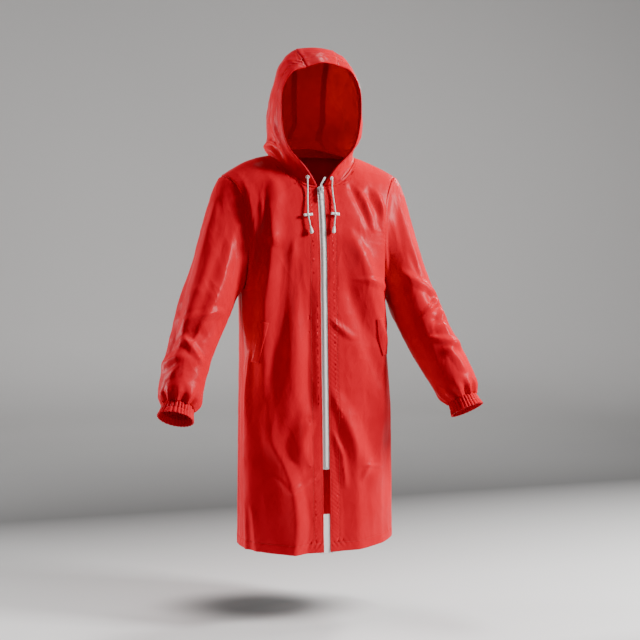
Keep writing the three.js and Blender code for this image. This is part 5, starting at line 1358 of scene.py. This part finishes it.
def stitching(name, runs, material):
    """All the stitches of several runs as one piece."""
    grid = np.concatenate([run.reshape(len(run), -1, 3) for run in runs])
    index = np.arange(len(STITCH_RINGS) * THREAD_SIDES).reshape(-1, THREAD_SIDES)
    wrapped = np.hstack([index, index[:, :1]])
    quads = np.stack([wrapped[:-1, :-1], wrapped[1:, :-1], wrapped[1:, 1:], wrapped[:-1, 1:]],
                     axis=-1).reshape(-1, 4)
    starts = np.arange(len(grid)) * index.size
    faces = (quads[None] + starts[:, None, None]).reshape(-1, 4).tolist()
    faces += (index[0][None] + starts[:, None]).tolist()
    faces += (index[-1][::-1][None] + starts[:, None]).tolist()
    piece = mesh_piece(name, grid, faces)
    piece.data.materials.append(material)
    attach(piece, "coat")
    return piece


def red_thread():
    material, tree, shader = new_material("red_sewing_thread")
    place = add_node(tree, "ShaderNodeTexCoord")
    twist = add_node(tree, "ShaderNodeTexNoise", {"Vector": place.outputs["Object"], "Scale": 1500})
    tint = add_node(tree, "ShaderNodeValToRGB", {"Fac": twist.outputs["Fac"]})
    tint.color_ramp.elements[0].color = (0.40, 0.008, 0.010, 1)
    tint.color_ramp.elements[1].color = (0.74, 0.035, 0.035, 1)
    tree.links.new(tint.outputs["Color"], shader.inputs["Base Color"])
    shader.inputs["Roughness"].default_value = 0.55
    return material


def body_run(part, side, steps, columns):
    sheet = body[part, side]
    route = sheet_at(sheet, steps, columns)
    outwards = sheet_at(sheet, steps, columns, "outwards")
    if side == "right":
        route, outwards = to_right(route), to_right(outwards)
    return stitch_run(route, outwards)


def column_at(part, side, steps, distance):
    """The column of a front or back that lies a distance from its middle edge at each step."""
    sheet = body[part, side]
    width = np.interp(steps, sheet["steps"], sheet["grid"][:, -1, 0] - sheet["grid"][:, 0, 0])
    return np.degrees(np.arcsin(distance / width)) / 90


thread = red_thread()
runs = []
edge_steps = np.linspace(0.02, SKIRT_STEPS + CHEST_STEPS, 500)
across_steps = np.linspace(0, 1, 160)
hem_step = SKIRT_STEPS * HEM_SEAM / (ARMPIT_Z - HEM_Z)
for side in SIDE_SIGN:
    for distance in (ZIP_SEAM, FACING_SEAM):
        runs.append(body_run("front", side, edge_steps,
                             column_at("front", side, edge_steps, distance)))
    for part in ("front", "back"):
        runs.append(body_run(part, side, np.full(160, hem_step), across_steps))
stitching("body_stitching", runs, thread)

runs = []
for side in SIDE_SIGN:
    sheet, mirror = hood[side], side == "right"
    sheet = {**sheet, "steps": sheet["up"], "columns": sheet["back"]}
    up = np.linspace(0.02, 0.995, 200)
    row = np.interp(up, sheet["up"], np.arange(len(sheet["up"]))).astype(int)
    back = np.array([np.interp(CASING_SEAM, sheet["from_face"][r], sheet["back"]) for r in row])
    lines = [(up, back)]
    rim = np.linspace(0.01, 0.99, 160)
    lines += [(np.full(160, 0.985), rim), (rim, np.full(160, 0.985))]
    for steps, columns in lines:
        route = sheet_at(sheet, steps, columns)
        out = sheet_at(sheet, steps, columns, "outwards")
        runs.append(stitch_run(to_right(route) if mirror else route,
                               to_right(out) if mirror else out))
stitching("hood_stitching", runs, thread)

# The stage: a pale floor that curves up into a pale wall all round, open at the top, with light and
# shade painted on its paper.
FLOOR_Z = -0.91
FLOOR_RADIUS = 2.7
WALL_RADIUS = 3.4
WALL_TOP = 3.2
# The paper's grey by depth in metres is painted light and shade: painted shade in front, a painted pool
# of light below the coat, painted shade behind it, and pale again at the wall. An oval patch below the
# coat is a painted shadow.
PAINTED_LIGHT_GREYS = [(-3.4, 0.10), (-0.7, 0.12), (-0.3, 0.82), (0.1, 0.66), (0.9, 0.09), (1.5, 0.24),
               (2.3, 0.48), (3.4, 0.68)]
# Place and reach of the painted shadow below the coat, in metres.
PAINTED_SHADOW_PLACE = (-0.095, 0.039)
PAINTED_SHADOW_REACH = (0.21, 0.10)

profile_r = np.array([0.0005, 0.4, 0.9, 1.5, 2.1, FLOOR_RADIUS, 3.0, 3.22, 3.35, WALL_RADIUS,
                      WALL_RADIUS])[:, None]
profile_z = np.array([0, 0, 0, 0, 0, 0, 0.05, 0.17, 0.38, 0.75, WALL_TOP])[:, None] + FLOOR_Z
turn = np.linspace(0, 2 * np.pi, 97)[:-1]
bowl = np.stack(np.broadcast_arrays(profile_r * np.cos(turn), profile_r * np.sin(turn), profile_z),
                axis=-1) * 1000
floor = grid_piece("studio_floor", bowl, np.zeros(bowl.shape[:2]), np.zeros(bowl.shape[:2]),
                   closed=True)
material, tree, shader = new_material("studio_paper_painted_light")
place = add_node(tree, "ShaderNodeTexCoord")
apart = add_node(tree, "ShaderNodeVectorMath", {0: place.outputs["Object"]})
apart.operation = "DOT_PRODUCT"
apart.inputs[1].default_value = (0, 1.04, 0)
depth = add_node(tree, "ShaderNodeMapRange", {"Value": apart.outputs["Value"], "From Min": -3.4,
                                              "From Max": 3.4})
# Painted light and shade: the ramp's greys by depth stand in for the lamps' pool of light below the coat
# and the shade around it.
tint = add_node(tree, "ShaderNodeValToRGB", {"Fac": depth.outputs["Result"]})
for index, (at, grey) in enumerate(PAINTED_LIGHT_GREYS):
    stop = tint.color_ramp.elements[index] if index < 2 else tint.color_ramp.elements.new(0.99)
    stop.position = at / 6.8 + 0.5
    stop.color = (grey, 0.985 * grey, 0.97 * grey, 1)
# Painted shadow: an oval below the coat darkens the paper, down to 0.16 of its grey in the middle.
below = add_node(tree, "ShaderNodeMapping", {
    "Vector": place.outputs["Object"], "Location": (*PAINTED_SHADOW_PLACE, FLOOR_Z),
    "Rotation": (0, 0, CAMERA_TURN), "Scale": (*PAINTED_SHADOW_REACH, 1)}, vector_type="TEXTURE")
off = add_node(tree, "ShaderNodeVectorMath", {0: below.outputs["Vector"]}, operation="LENGTH")
painted_shadow = add_node(tree, "ShaderNodeMapRange", {"Value": off.outputs["Value"], "From Min": 0.3,
                                              "From Max": 1.2, "To Min": 0.16, "To Max": 1.0},
                 interpolation_type="SMOOTHSTEP")
with_painted_shadow = add_node(tree, "ShaderNodeVectorMath", {0: tint.outputs["Color"],
                                                 1: painted_shadow.outputs["Result"]}, operation="MULTIPLY")
tree.links.new(with_painted_shadow.outputs["Vector"], shader.inputs["Base Color"])
shader.inputs["Roughness"].default_value = 0.9
floor.data.materials.append(material)

# The lights: a soft key from the viewer's right, a weak one in front, a strip from behind on the
# left that rims the edges, one from behind on the right that glows through the hood, and one above.
LIGHTS = [
    {"name": "key", "place": (1.85, -1.0, 0.7), "size": (0.4, 0.7), "power": 104},
    {"name": "front", "place": (-0.4, -2.2, 0.1), "size": (0.8, 0.8), "power": 5},
    {"name": "rim", "place": (-1.8, 0.8, -0.2), "size": (0.3, 1.2), "power": 44},
    {"name": "rear", "place": (1.4, 0.7, 0.7), "size": (0.4, 0.4), "power": 24},
    {"name": "above", "place": (0.4, 0.1, 2.0), "size": (0.4, 0.4), "power": 30},
]
LIGHT_AIM = Vector((0, 0, -0.3))
for row in LIGHTS:
    light = bpy.data.objects.new(row["name"], bpy.data.lights.new(row["name"], "AREA"))
    light.data.shape = "RECTANGLE"
    light.data.size, light.data.size_y = row["size"]
    light.data.energy = row["power"]
    light.location = row["place"]
    away = Vector(row["place"]) - LIGHT_AIM
    light.rotation_euler = away.to_track_quat("Z", "Y").to_euler()
    light.visible_camera = False
    bpy.context.scene.collection.objects.link(light)
world = bpy.data.worlds.new("soft_room")
world.use_nodes = True
world.node_tree.nodes["Background"].inputs["Color"].default_value = (0.9, 0.92, 0.95, 1)
world.node_tree.nodes["Background"].inputs["Strength"].default_value = 0.12
bpy.context.scene.world = world
